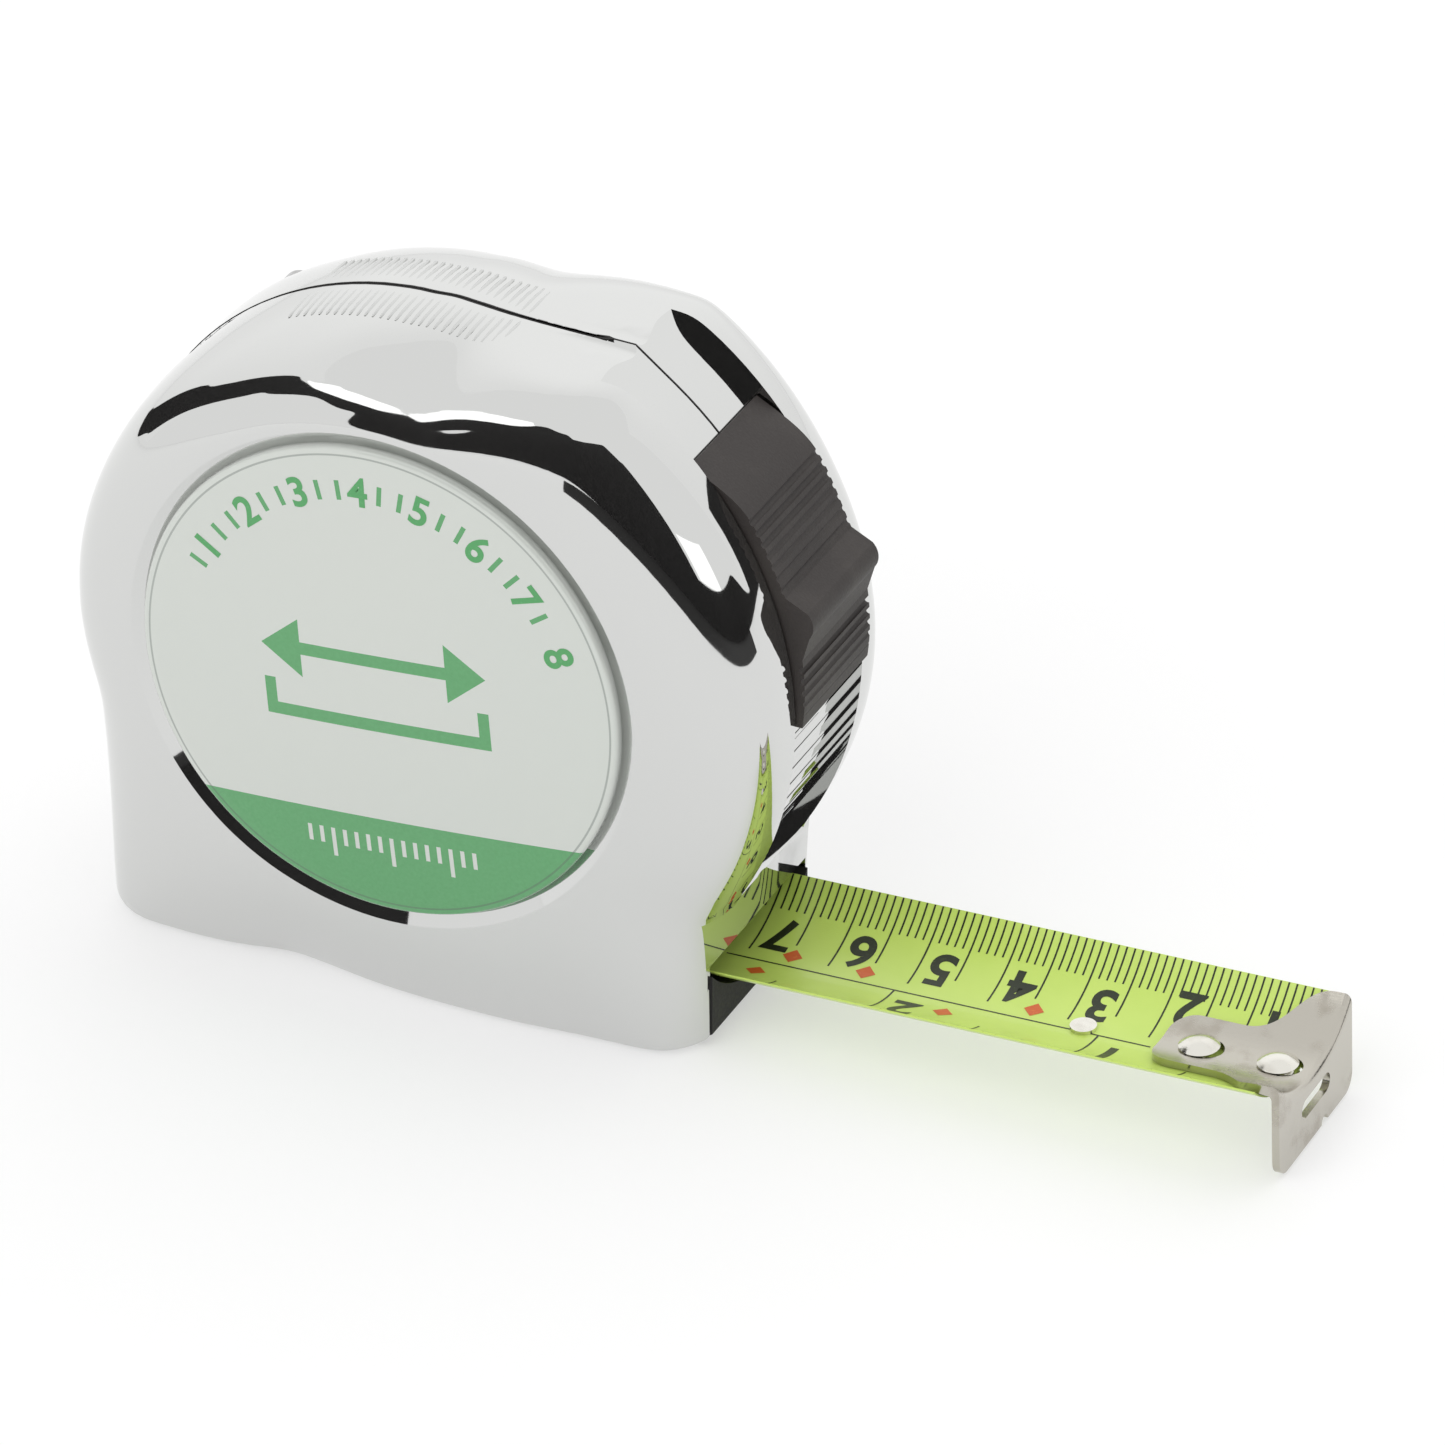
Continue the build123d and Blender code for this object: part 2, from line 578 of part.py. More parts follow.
def make_centre_screw():
    """Screw that holds the spindle to the clip half."""
    at = (0, AXIS_Z)
    screw = rod(at, CENTRE_HEAD_R, FAR_W - CENTRE_HEAD_T, FAR_W)
    screw += rod(at, CENTRE_R, CENTRE_TIP, FAR_W - CENTRE_HEAD_T)
    return screw - drive(at, FAR_W)


def make_belt_clip():
    """Spring-steel belt clip on the clip side."""
    lay = FAR_W + CLIP_T / 2
    out = lay + CLIP_OUT
    path = FilletPolyline((lay, CLIP_FOOT[1]), (lay, CLIP_FOOT[0]), (out, CLIP_ARM[1]), (out, CLIP_ARM[0]),
                          (lay + 0.6, CLIP_TIP[1]), (lay + 2.6, CLIP_TIP[0]), radius=CLIP_BEND)
    strip = trace(path, line_width=CLIP_T)
    clip = extrude(Plane.YZ * strip, amount=CLIP_HALF, both=True)
    return clip - rod((0, CLIP_SCREW_Z), CLIP_SCREW_R, FAR_W - 1, FAR_W + 3)


def make_clip_screw():
    """Screw that holds the belt clip."""
    at = (0, CLIP_SCREW_Z)
    y = FAR_W + CLIP_T
    screw = rod(at, CLIP_HEAD_R, y, y + CLIP_HEAD_T)
    screw += rod(at, CLIP_SCREW_R, CLIP_SCREW_Y, y)
    return screw - drive(at, y + CLIP_HEAD_T)


def main():
    """Build every piece and write it out."""
    os.makedirs("parts", exist_ok=True)
    pieces = {
        "case_near": make_case_near(),
        "case_far": make_case_far(),
        "label": make_label(),
        "mouth_bumper": make_bumper(),
        "spindle": make_spindle(),
        "washer_near": make_washer(-1),
        "washer_far": make_washer(1),
        "reel_drum": make_reel_drum(),
        "reel_cover": make_reel_cover(),
        "blade_coil": make_coil(),
        "mainspring": make_mainspring(),
        "blade": make_blade(),
        "blade_lead": make_blade_lead(),
        "hook_rivet_front": make_rivet(RIVET_AT[0]),
        "hook_rivet_rear": make_rivet(RIVET_AT[1]),
        "tip_rivet": make_tip_rivet(),
        "end_hook": make_end_hook(),
        "thumb_lock": make_thumb_lock(),
        "brake_pad": make_brake_pad(),
        "centre_screw": make_centre_screw(),
        "belt_clip": make_belt_clip(),
        "clip_screw": make_clip_screw(),
    }
    for i, at in enumerate(screw_points()):
        pieces[f"case_screw_{i + 1}"] = make_case_screw(at)
    for name, piece in pieces.items():
        export_step(piece, f"parts/{name}.step")


main()
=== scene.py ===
"""Looks of a pocket tape measure: chromed case, printed blade, steel hook, thumb lock and label.

Metres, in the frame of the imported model: X along the blade to the hook, Y away from the label side, Z up.
"""
from __future__ import annotations

import json
import logging
import math
from dataclasses import dataclass, field
from enum import Enum
from typing import Any, Callable, Iterable, Sequence

import bmesh
import bpy
from mathutils import Matrix, Vector
from mathutils.bvhtree import BVHTree

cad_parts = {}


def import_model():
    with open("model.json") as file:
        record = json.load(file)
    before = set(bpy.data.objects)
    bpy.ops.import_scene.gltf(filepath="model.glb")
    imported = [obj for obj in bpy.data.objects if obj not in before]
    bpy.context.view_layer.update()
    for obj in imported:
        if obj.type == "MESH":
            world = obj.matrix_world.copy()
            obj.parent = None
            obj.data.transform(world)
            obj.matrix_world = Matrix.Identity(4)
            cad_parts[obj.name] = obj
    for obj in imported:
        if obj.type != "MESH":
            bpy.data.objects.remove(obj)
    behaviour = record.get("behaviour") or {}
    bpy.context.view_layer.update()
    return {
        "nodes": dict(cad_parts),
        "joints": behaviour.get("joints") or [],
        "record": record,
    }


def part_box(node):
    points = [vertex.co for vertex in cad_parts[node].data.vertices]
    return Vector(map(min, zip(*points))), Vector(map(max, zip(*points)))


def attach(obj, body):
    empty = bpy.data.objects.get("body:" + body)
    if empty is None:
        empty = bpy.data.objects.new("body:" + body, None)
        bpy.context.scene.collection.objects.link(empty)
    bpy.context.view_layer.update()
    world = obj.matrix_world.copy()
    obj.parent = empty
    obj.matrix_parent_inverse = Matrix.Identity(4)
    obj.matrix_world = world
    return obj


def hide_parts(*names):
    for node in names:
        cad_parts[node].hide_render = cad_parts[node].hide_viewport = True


LOG = logging.getLogger("tape_measure")
MM = 0.001
FIGURE_EM = 1.38  # font size over the height of its figures
TEXT_CUTS = 7     # cuts through each half of a figure, so that it can be bent
Colour = tuple[float, float, float]


def linear(red: int, green: int, blue: int) -> Colour:
    """Scene-linear colour of an 8-bit screen colour."""
    def channel(value: int) -> float:
        """One channel, from nought to one."""
        share = value / 255
        return share / 12.92 if share <= 0.04045 else ((share + 0.055) / 1.055) ** 2.4
    return channel(red), channel(green), channel(blue)


class Num:
    """Number in a node tree. Arithmetic on it adds Math nodes."""

    def __init__(self, tree: bpy.types.NodeTree, socket: bpy.types.NodeSocket) -> None:
        """Wrap an output socket of a tree."""
        self.tree = tree
        self.socket = socket

    def math(self, operation: str, *values: Any, clamp: bool = False) -> "Num":
        """Add one Math node.

        Args:
            operation: The Math node's operation.
            values: Its inputs in order, as numbers or Num.
            clamp: Whether the result is kept between 0 and 1.

        Returns:
            The node's result.
        """
        node = self.tree.nodes.new("ShaderNodeMath")
        node.operation = operation
        node.use_clamp = clamp
        for slot, value in zip(node.inputs, values):
            if isinstance(value, Num):
                self.tree.links.new(value.socket, slot)
            else:
                slot.default_value = value
        return Num(self.tree, node.outputs[0])

    def __add__(self, other: Any) -> "Num":
        """Sum."""
        return self.math("ADD", self, other)

    def __radd__(self, other: Any) -> "Num":
        """Sum, from the left."""
        return self.math("ADD", other, self)

    def __sub__(self, other: Any) -> "Num":
        """Difference."""
        return self.math("SUBTRACT", self, other)

    def __rsub__(self, other: Any) -> "Num":
        """Difference, from the left."""
        return self.math("SUBTRACT", other, self)

    def __mul__(self, other: Any) -> "Num":
        """Product."""
        return self.math("MULTIPLY", self, other)

    def __rmul__(self, other: Any) -> "Num":
        """Product, from the left."""
        return self.math("MULTIPLY", other, self)

    def __truediv__(self, other: Any) -> "Num":
        """Quotient."""
        return self.math("DIVIDE", self, other)

    def __lt__(self, other: Any) -> "Num":
        """One where this is smaller, else nought."""
        return self.math("LESS_THAN", self, other)

    def __gt__(self, other: Any) -> "Num":
        """One where this is larger, else nought."""
        return self.math("GREATER_THAN", self, other)

    def __abs__(self) -> "Num":
        """Size without its sign."""
        return self.math("ABSOLUTE", self)

    def sin(self) -> "Num":
        """Sine."""
        return self.math("SINE", self)

    def cos(self) -> "Num":
        """Cosine."""
        return self.math("COSINE", self)

    def remainder(self, step: float) -> "Num":
        """Remainder of a division."""
        return self.math("MODULO", self, step)

    def larger(self, other: Any) -> "Num":
        """Larger of two."""
        return self.math("MAXIMUM", self, other)

    def soft_step(self, low: float, high: float) -> "Num":
        """Smooth step from nought to one between two limits."""
        node = self.tree.nodes.new("ShaderNodeMapRange")
        node.interpolation_type = "SMOOTHSTEP"
        self.tree.links.new(self.socket, node.inputs["Value"])
        node.inputs["From Min"].default_value = low
        node.inputs["From Max"].default_value = high
        return Num(self.tree, node.outputs["Result"])


class Nodes:
    """Node tree with one way to add a node."""

    def __init__(self, tree: bpy.types.NodeTree) -> None:
        """Start from an empty tree."""
        self.tree = tree
        tree.nodes.clear()

    def add(self, kind: str, settings: dict[str, Any] | None = None,
            inputs: dict[str | int, Any] | None = None) -> bpy.types.Node:
        """Add a node.

        Args:
            kind: The node's type.
            settings: Its own properties, set first.
            inputs: Values or links by socket name or place.

        Returns:
            The node.
        """
        node = self.tree.nodes.new(kind)
        for name, value in (settings or {}).items():
            setattr(node, name, value)
        for key, value in (inputs or {}).items():
            self.plug(value, node.inputs[key])
        return node

    def plug(self, value: Any, slot: bpy.types.NodeSocket) -> None:
        """Set or link one input socket."""
        if isinstance(value, Num):
            self.tree.links.new(value.socket, slot)
        elif isinstance(value, bpy.types.NodeSocket):
            self.tree.links.new(value, slot)
        else:
            slot.default_value = value

    def num(self, socket: bpy.types.NodeSocket) -> Num:
        """Number from an output socket."""
        return Num(self.tree, socket)


class Paint(Nodes):
    """Material tree with a Principled shader at its end."""

    def __init__(self, name: str) -> None:
        """Make the material and its shader."""
        self.material = bpy.data.materials.new(name)
        self.material.use_nodes = True
        super().__init__(self.material.node_tree)
        self.shader = self.add("ShaderNodeBsdfPrincipled")
        self.add("ShaderNodeOutputMaterial", inputs={"Surface": self.shader.outputs[0]})
        self.place = self.add("ShaderNodeTexCoord").outputs["Object"]

    def axes(self) -> tuple[Num, Num, Num]:
        """Place on the piece, in metres along each axis."""
        split = self.add("ShaderNodeSeparateXYZ", inputs={0: self.place})
        return self.num(split.outputs[0]), self.num(split.outputs[1]), self.num(split.outputs[2])

    def noise(self, per_metre: float, detail: float = 2.0, stretch: Colour = (1, 1, 1)) -> Num:
        """Cloudy noise.

        Args:
            per_metre: Its scale.
            detail: Its octaves.
            stretch: Its scale along each axis.

        Returns:
            The noise, around one half.
        """
        spot = self.add("ShaderNodeMapping", inputs={"Vector": self.place, "Scale": stretch})
        cloud = self.add("ShaderNodeTexNoise", inputs={
            "Vector": spot.outputs[0], "Scale": per_metre, "Detail": detail})
        return self.num(cloud.outputs[0])

    def blend(self, share: Num, first: Any, second: Any) -> bpy.types.NodeSocket:
        """Mix two colours, given as numbers or links."""
        def rgba(value: Any) -> Any:
            """Colour with its alpha, or the link as it is."""
            return value if isinstance(value, bpy.types.NodeSocket) else (*value, 1.0)
        mix = self.add("ShaderNodeMix", {"data_type": "RGBA"}, {0: share, 6: rgba(first), 7: rgba(second)})
        return mix.outputs[2]

    def bump(self, height: Num, depth: float) -> None:
        """Raise the surface by a height from nought to one, times a depth in metres."""
        node = self.add("ShaderNodeBump", inputs={"Height": height, "Distance": depth, "Strength": 1.0})
        self.plug(node.outputs[0], self.shader.inputs["Normal"])

    def set(self, **values: Any) -> None:
        """Set the shader's sockets, named with underscores for spaces."""
        for name, value in values.items():
            slot = self.shader.inputs[name.replace("_", " ").title().replace("Ior", "IOR")]
            self.plug((*value, 1.0) if isinstance(value, tuple) else value, slot)


@dataclass(frozen=True)
class ChromePlate:
    """Mirror chrome on moulded plastic, with faint handling haze."""
    name: str = "chrome_plate"
    colour: Colour = (0.66, 0.665, 0.655)
    gloss: float = 0.03
    haze: float = 0.05

    def material(self) -> bpy.types.Material:
        """Make the material."""
        paint = Paint(self.name)
        cloud = paint.noise(90.0, 4.0).soft_step(0.52, 0.78)
        paint.set(base_color=self.colour, metallic=1.0, roughness=cloud * self.haze + self.gloss)
        paint.bump(paint.noise(260.0, 1.0), 0.000004)
        return paint.material


@dataclass(frozen=True)
class PlatedSteel:
    """Plated sheet or turned steel with a fine grain and dull stains."""
    name: str
    colour: Colour
    stain: Colour
    gloss: float = 0.2
    grain: Colour = (8, 60, 60)

    def material(self) -> bpy.types.Material:
        """Make the material."""
        paint = Paint(self.name)
        grain = paint.noise(90.0, 3.0, self.grain)
        dull = paint.noise(210.0, 3.0).soft_step(0.5, 0.75)
        paint.set(base_color=paint.blend(dull, self.colour, self.stain), metallic=1.0,
                  roughness=grain * 0.16 + dull * 0.12 + self.gloss)
        paint.bump(grain, 0.00001)
        return paint.material


@dataclass(frozen=True)
class Moulding:
    """Moulded plastic or rubber with a fine spark-eroded grain."""
    name: str
    colour: Colour
    worn: Colour
    rough: float = 0.5
    depth: float = 0.00003

    def material(self) -> bpy.types.Material:
        """Make the material."""
        paint = Paint(self.name)
        grain = paint.noise(3200.0, 2.0)
        worn = paint.noise(120.0, 4.0).soft_step(0.45, 0.8)
        paint.set(base_color=paint.blend(worn, self.colour, self.worn), roughness=grain * 0.2 + self.rough)
        paint.bump(grain, self.depth)
        return paint.material


@dataclass(frozen=True)
class BladeEnamel:
    """Lime enamel on the blade, a little uneven."""
    colour: Colour = linear(204, 228, 112)
    deep: Colour = linear(192, 220, 98)

    def material(self) -> bpy.types.Material:
        """Make the material."""
        paint = Paint("blade_enamel")
        cloud = paint.noise(160.0, 3.0)
        weave = paint.noise(1500.0, 1.0, (1, 6, 6))
        paint.set(base_color=paint.blend(cloud, self.colour, self.deep), roughness=cloud * 0.12 + 0.3,
                  coat_weight=0.25)
        paint.bump(weave, 0.000006)
        return paint.material


@dataclass(frozen=True)
class Ink:
    """Printing ink, slightly broken up."""
    name: str
    colour: Colour
    thin: Colour

    def material(self) -> bpy.types.Material:
        """Make the material."""
        paint = Paint(self.name)
        speck = paint.noise(2600.0, 2.0).soft_step(0.55, 0.8)
        paint.set(base_color=paint.blend(speck, self.colour, self.thin), roughness=speck * 0.2 + 0.35)
        return paint.material


@dataclass(frozen=True)
class LabelPrint:
    """Printed disc under a clear dome: pale ground, green band, a plain dial of ticks, and a thin ring of painted
    shade at the dome's edge.
    """
    centre: Vector
    turn: float = math.radians(4.4)
    ground: Colour = linear(205, 208, 202)
    cool: Colour = linear(200, 206, 200)
    green: Colour = linear(84, 160, 98)
    green_deep: Colour = linear(70, 148, 86)
    # colour of the painted shade ring at the dome's edge
    shade: Colour = linear(70, 84, 76)
    rim: float = 29.1 * MM
    rim_half: float = 0.12 * MM
    rim_share: float = 0.45
    band_drop: float = 17.6 * MM
    dial_radii: tuple[float, float] = (23.6 * MM, 26.0 * MM)
    dial_step: float = math.radians(6.0)
    dial_half: float = math.radians(62)
    dial_tick_half: float = 0.3 * MM
    line_half: float = 0.8 * MM
    arrow_rise: float = 3.4 * MM
    arrow_end: float = 14.2 * MM
    head_from: float = 9.2 * MM
    head_slope: float = 0.75
    shaft_end: float = 11.0 * MM
    bar_drop: float = 5.0 * MM
    mark_at: float = 13.5 * MM
    mark_half: float = 0.7 * MM
    mark_drop: float = 3.4 * MM
    mark_reach: float = 2.4 * MM
    scale_pitch: float = 1.5 * MM
    scale_tick_half: float = 0.26 * MM
    scale_gap: float = 2.4 * MM
    scale_short: float = 2.2 * MM
    scale_more: float = 1.6 * MM

    def material(self) -> bpy.types.Material:
        """Make the material."""
        paint = Paint("label_print")
        x, _, z = paint.axes()
        side = (x - self.centre.x) * math.cos(self.turn) + (z - self.centre.z) * math.sin(self.turn)
        rise = (z - self.centre.z) * math.cos(self.turn) - (x - self.centre.x) * math.sin(self.turn)
        band = rise < -self.band_drop
        speck = paint.noise(2400.0, 2.0)
        ground = paint.blend(paint.noise(22.0, 2.0), self.ground, self.cool)
        green = paint.blend(speck, self.green, self.green_deep)
        ink = self.symbol(side, rise).larger(self.dial(side, rise)).larger(band)
        ink = ink * (1.0 - self.scale(side, rise))
        radius = side.math("SQRT", side * side + rise * rise)
        # thin darker ring near the dome's edge: painted shade of the dome's rim, not print
        rim = (abs(radius - self.rim) < self.rim_half) * self.rim_share
        paint.set(base_color=paint.blend(rim, paint.blend(ink, ground, green), self.shade),
                  roughness=speck * 0.06 + 0.12, coat_weight=1.0, coat_roughness=0.03)
        return paint.material

    def dial(self, side: Num, rise: Num) -> Num:
        """Pairs of plain ticks between the dial's numbers, over the upper part of the label."""
        radius = side.math("SQRT", side * side + rise * rise)
        angle = side.math("ARCTAN2", side, rise)
        step = self.dial_step
        phase = abs((angle + math.pi + step / 2).remainder(step) - step / 2) * radius
        number = abs((angle + math.pi * 2).remainder(step * 3) - step * 1.5) > step
        inner, outer = self.dial_radii
        ring = (radius < outer) * (radius > inner) * (abs(angle) < self.dial_half)
        return (phase < self.dial_tick_half) * ring * (1.0 - number)

    def symbol(self, side: Num, rise: Num) -> Num:
        """Plain sign for a length: a long double arrow over a bar with end marks."""
        across = abs(side)
        shaft = (abs(rise - self.arrow_rise) < self.line_half) * (across < self.shaft_end)
        taper = (self.arrow_end - across) * self.head_slope
        heads = (abs(rise - self.arrow_rise) < taper) * (across > self.head_from)
        bar = (abs(rise + self.bar_drop) < self.line_half) * (across < self.arrow_end)
        marks = (abs(across - self.mark_at) < self.mark_half) * (abs(rise + self.mark_drop) < self.mark_reach)
        return shaft.larger(heads).larger(bar).larger(marks)

    def scale(self, side: Num, rise: Num) -> Num:
        """Pale row of ruler ticks in the green band."""
        pitch = self.scale_pitch
        phase = abs((side + pitch * 40.5).remainder(pitch) - pitch / 2)
        long_one = abs((side + pitch * 42.5).remainder(pitch * 5) - pitch * 2.5) < pitch / 2
        top = -self.band_drop - self.scale_gap
        low = top - self.scale_short - long_one * self.scale_more
        return (phase < self.scale_tick_half) * (rise < top) * (rise > low) * (abs(side) < pitch * 7.5)


class Slot(Enum):
    """Material slots of the record."""
    CHROME = "case_chrome"
    LABEL = "label_print"
    RUBBER = "black_rubber"
    PLASTIC = "black_plastic"
    LOCK = "lock_plastic"
    NYLON = "nylon"
    BLADE = "blade_paint"
    NICKEL = "nickel"
    STEEL = "steel"


def finish_table(label_centre: Vector) -> dict[Slot, bpy.types.Material]:
    """Material of each slot."""
    return {
        Slot.CHROME: ChromePlate().material(),
        Slot.LABEL: LabelPrint(label_centre).material(),
        Slot.RUBBER: Moulding("black_rubber", linear(24, 22, 22), linear(33, 31, 30), 0.6).material(),
        Slot.PLASTIC: Moulding("black_plastic", linear(30, 30, 31), linear(38, 38, 39), 0.4).material(),
        Slot.LOCK: Moulding("lock_plastic", linear(51, 46, 44), linear(61, 56, 53), 0.5).material(),
        Slot.NYLON: Moulding("nylon", linear(226, 222, 212), linear(216, 211, 200), 0.45).material(),
        Slot.BLADE: BladeEnamel().material(),
        Slot.NICKEL: PlatedSteel("nickel", linear(191, 187, 177), linear(176, 170, 159), 0.14).material(),
        Slot.STEEL: PlatedSteel("steel", linear(186, 186, 186), linear(160, 158, 154), 0.2).material(),
    }


def add_piece(name: str, mesh: bpy.types.Mesh, body: str,
              material: bpy.types.Material) -> bpy.types.Object:
    """Put a finished mesh in the scene.

    Args:
        name: The piece's name.
        mesh: Its mesh, in its place.
        body: The body that it moves with.
        material: Its material.

    Returns:
        The new object.
    """
    mesh.name = name
    mesh.materials.clear()
    mesh.materials.append(material)
    piece = bpy.data.objects.new(name, mesh)
    bpy.context.collection.objects.link(piece)
    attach(piece, body)
    LOG.info("%s: %d faces on %s", name, len(mesh.polygons), body)
    return piece


def mesh_from(build: Callable[[bmesh.types.BMesh], None], smooth: float | None = None) -> bpy.types.Mesh:
    """Make a mesh with bmesh.

    Args:
        build: Fills the empty bmesh.
        smooth: Angle in degrees up to which edges are shaded smooth, or None for flat faces.

    Returns:
        The mesh, with its normals outwards.
    """
    grid = bmesh.new()
    build(grid)
    bmesh.ops.remove_doubles(grid, verts=grid.verts, dist=1e-7)
    bmesh.ops.recalc_face_normals(grid, faces=grid.faces)
    mesh = bpy.data.meshes.new("part")
    grid.to_mesh(mesh)
    grid.free()
    if smooth is not None:
        shade(mesh, smooth)
    return mesh


def shade(mesh: bpy.types.Mesh, limit: float) -> None:
    """Shade smooth, with edges over the limit in degrees kept sharp."""
    mesh.shade_smooth()
    mesh.set_sharp_from_angle(angle=math.radians(limit))


class GeometryTree(Nodes):
    """Geometry Nodes tree with named inputs, which gives a plain mesh."""

    def __init__(self, name: str) -> None:
        """Make the tree with its group nodes."""
        super().__init__(bpy.data.node_groups.new(name, "GeometryNodeTree"))
        self.tree.interface.new_socket("Geometry", in_out="OUTPUT", socket_type="NodeSocketGeometry")
        self.entry = self.add("NodeGroupInput")
        self.exit = self.add("NodeGroupOutput")
        self.values: dict[str, Any] = {}

    def size(self, name: str, value: float) -> Num:
        """Named number input."""
        return self.num(self.given(name, value, "NodeSocketFloat"))

    def count(self, name: str, value: int) -> Num:
        """Named whole number input."""
        return self.num(self.given(name, value, "NodeSocketInt"))

    def given(self, name: str, value: Any, kind: str) -> bpy.types.NodeSocket:
        """Named input of any kind."""
        slot = self.tree.interface.new_socket(name, in_out="INPUT", socket_type=kind)
        self.values[slot.identifier] = value
        return self.entry.outputs[name]

    def vector(self, x: Any = 0.0, y: Any = 0.0, z: Any = 0.0) -> bpy.types.NodeSocket:
        """Vector of three numbers."""
        return self.add("ShaderNodeCombineXYZ", inputs={0: x, 1: y, 2: z}).outputs[0]

    def mesh(self, result: bpy.types.NodeSocket, material: bpy.types.Material) -> bpy.types.Mesh:
        """Realise the result as a plain mesh.

        Args:
            result: The geometry to end with.
            material: Its material.

        Returns:
            The mesh.
        """
        real = self.add("GeometryNodeRealizeInstances", inputs={0: result})
        dressed = self.add("GeometryNodeSetMaterial", inputs={"Geometry": real.outputs[0], "Material": material})
        self.plug(dressed.outputs[0], self.exit.inputs[0])
        holder = bpy.data.objects.new(self.tree.name, bpy.data.meshes.new(self.tree.name))
        bpy.context.collection.objects.link(holder)
        modifier = holder.modifiers.new("nodes", "NODES")
        modifier.node_group = self.tree
        for identifier, value in self.values.items():
            modifier[identifier] = value
        ready = holder.evaluated_get(bpy.context.evaluated_depsgraph_get())
        mesh = bpy.data.meshes.new_from_object(ready)
        bpy.data.objects.remove(holder)
        return mesh


@dataclass
class Skin:
    """Outer surface of the case as a formula in millimetres, which gives the chrome even normals."""
    axis_z: float = 43.0
    back_r: float = 39.7
    back_x: float = -2.5
    top: float = 39.05
    nose_r: float = 46.5
    heel: float = 39.8
    ledge: float = math.radians(-33.0)
    sink: float = 6.0
    crown_soft: float = 1.0
    waist_soft: float = 0.8
    heel_soft: float = 3.0
    widths: tuple[float, float] = (20.4, 19.5)
    face_r: float = 31.0
    roll: float = 2.2
    stops: tuple[tuple[float, float], ...] = (
        (-150, 4.7), (-124, 5.3), (-108, 2.3), (-72, 6.7), (-58, 4.7), (-42, 4.5), (-10, 7.2), (30, 5.6),
        (62, 6.0), (84, 2.1), (118, 2.2), (150, 4.3), (180, 5.3), (210, 4.7))
    steps: int = 120
    block_from: float = math.radians(-15.0)
    near: float = 0.3
    agree: float = 0.88
    probe: float = 0.02
    longest: float = 1.5 * MM
    cuts: int = 5
    seam_half: float = 0.42 * MM
    seam_depth: float = 0.5 * MM
    seam_turns: tuple[float, float] = (53.5, 205.0)
    reaches: list[float] = field(default_factory=list)

    def __post_init__(self) -> None:
        """Tabulate the outline and ease its small corners."""
        table = [self.reach(2 * math.pi * i / self.steps) for i in range(self.steps)]
        for _ in range(2):
            table = [(table[i - 1] + 2 * table[i] + table[(i + 1) % self.steps]) / 4 for i in range(self.steps)]
        self.reaches = table

    def reach(self, angle: float) -> float:
        """Distance from the reel axis to the side outline."""
        def lesser(a: float, b: float, soft: float) -> float:
            """Lesser of two, with a soft corner."""
            return (a + b - math.hypot(a - b, soft)) / 2

        def greater(a: float, b: float, soft: float) -> float:
            """Greater of two, with a soft corner."""
            return (a + b + math.hypot(a - b, soft)) / 2
        c, s = math.cos(angle), math.sin(angle)
        far = 4 * self.back_r
        low = self.axis_z + self.sink
        round_back = self.back_x * c + math.sqrt(self.back_r ** 2 - (self.back_x * s) ** 2)
        if c > 0 and s > 0:
            crown = lesser(self.nose_r, min(self.top / s, far), self.crown_soft)
            return greater(round_back, crown, self.waist_soft)
        if c > 0:
            front = self.nose_r * math.cos(self.ledge)
            block = lesser(front / c, min(low / max(-s, 0.1), far), self.heel_soft)
            return greater(self.nose_r, block, self.waist_soft) if s < math.sin(self.block_from) else self.nose_r
        if s < 0:
            block = lesser(min(self.heel / max(-c, 0.1), far), low / -s, self.heel_soft)
            return greater(round_back, block, self.waist_soft)
        return round_back

    def outline(self, angle: float) -> float:
        """Reach from the table, by a smooth curve through its values."""
        at = angle / (2 * math.pi) * self.steps
        i = math.floor(at)
        t = at - i
        a, b, c, d = (self.reaches[(i + k) % self.steps] for k in (-1, 0, 1, 2))
        return b + t * (c - a + t * (2 * a - 5 * b + 4 * c - d + t * (3 * (b - c) + d - a))) / 2

    def fullness(self, angle: float) -> float:
        """How full the shoulder is in one direction."""
        turn = (math.degrees(angle) - self.stops[0][0]) % 360 + self.stops[0][0]
        for (a0, f0), (a1, f1) in zip(self.stops, self.stops[1:]):
            if turn <= a1:
                return f0 + (f1 - f0) * (1 - math.cos(math.pi * (turn - a0) / (a1 - a0))) / 2
        return self.stops[-1][1]

    def value(self, x: float, y: float, z: float) -> float:
        """Nought on the surface, less inside and more outside."""
        angle = math.atan2(z - self.axis_z, x)
        level = abs(y) / self.widths[1 if y > 0 else 0]
        out = math.hypot(x, z - self.axis_z) - self.face_r
        share = max(out, 0.0) / (self.outline(angle) - self.face_r)
        return share ** self.roll + level ** self.fullness(angle) - 1

    def slope(self, spot: Vector) -> tuple[Vector, float]:
        """Outward normal at a spot, and the spot's distance from the surface in millimetres."""
        x, y, z = spot / MM
        h = self.probe
        steep = Vector((self.value(x + h, y, z) - self.value(x - h, y, z),
                        self.value(x, y + h, z) - self.value(x, y - h, z),
                        self.value(x, y, z + h) - self.value(x, y, z - h))) / (2 * h)
        size = max(steep.length, 1e-6)
        return steep / size, abs(self.value(x, y, z)) / size

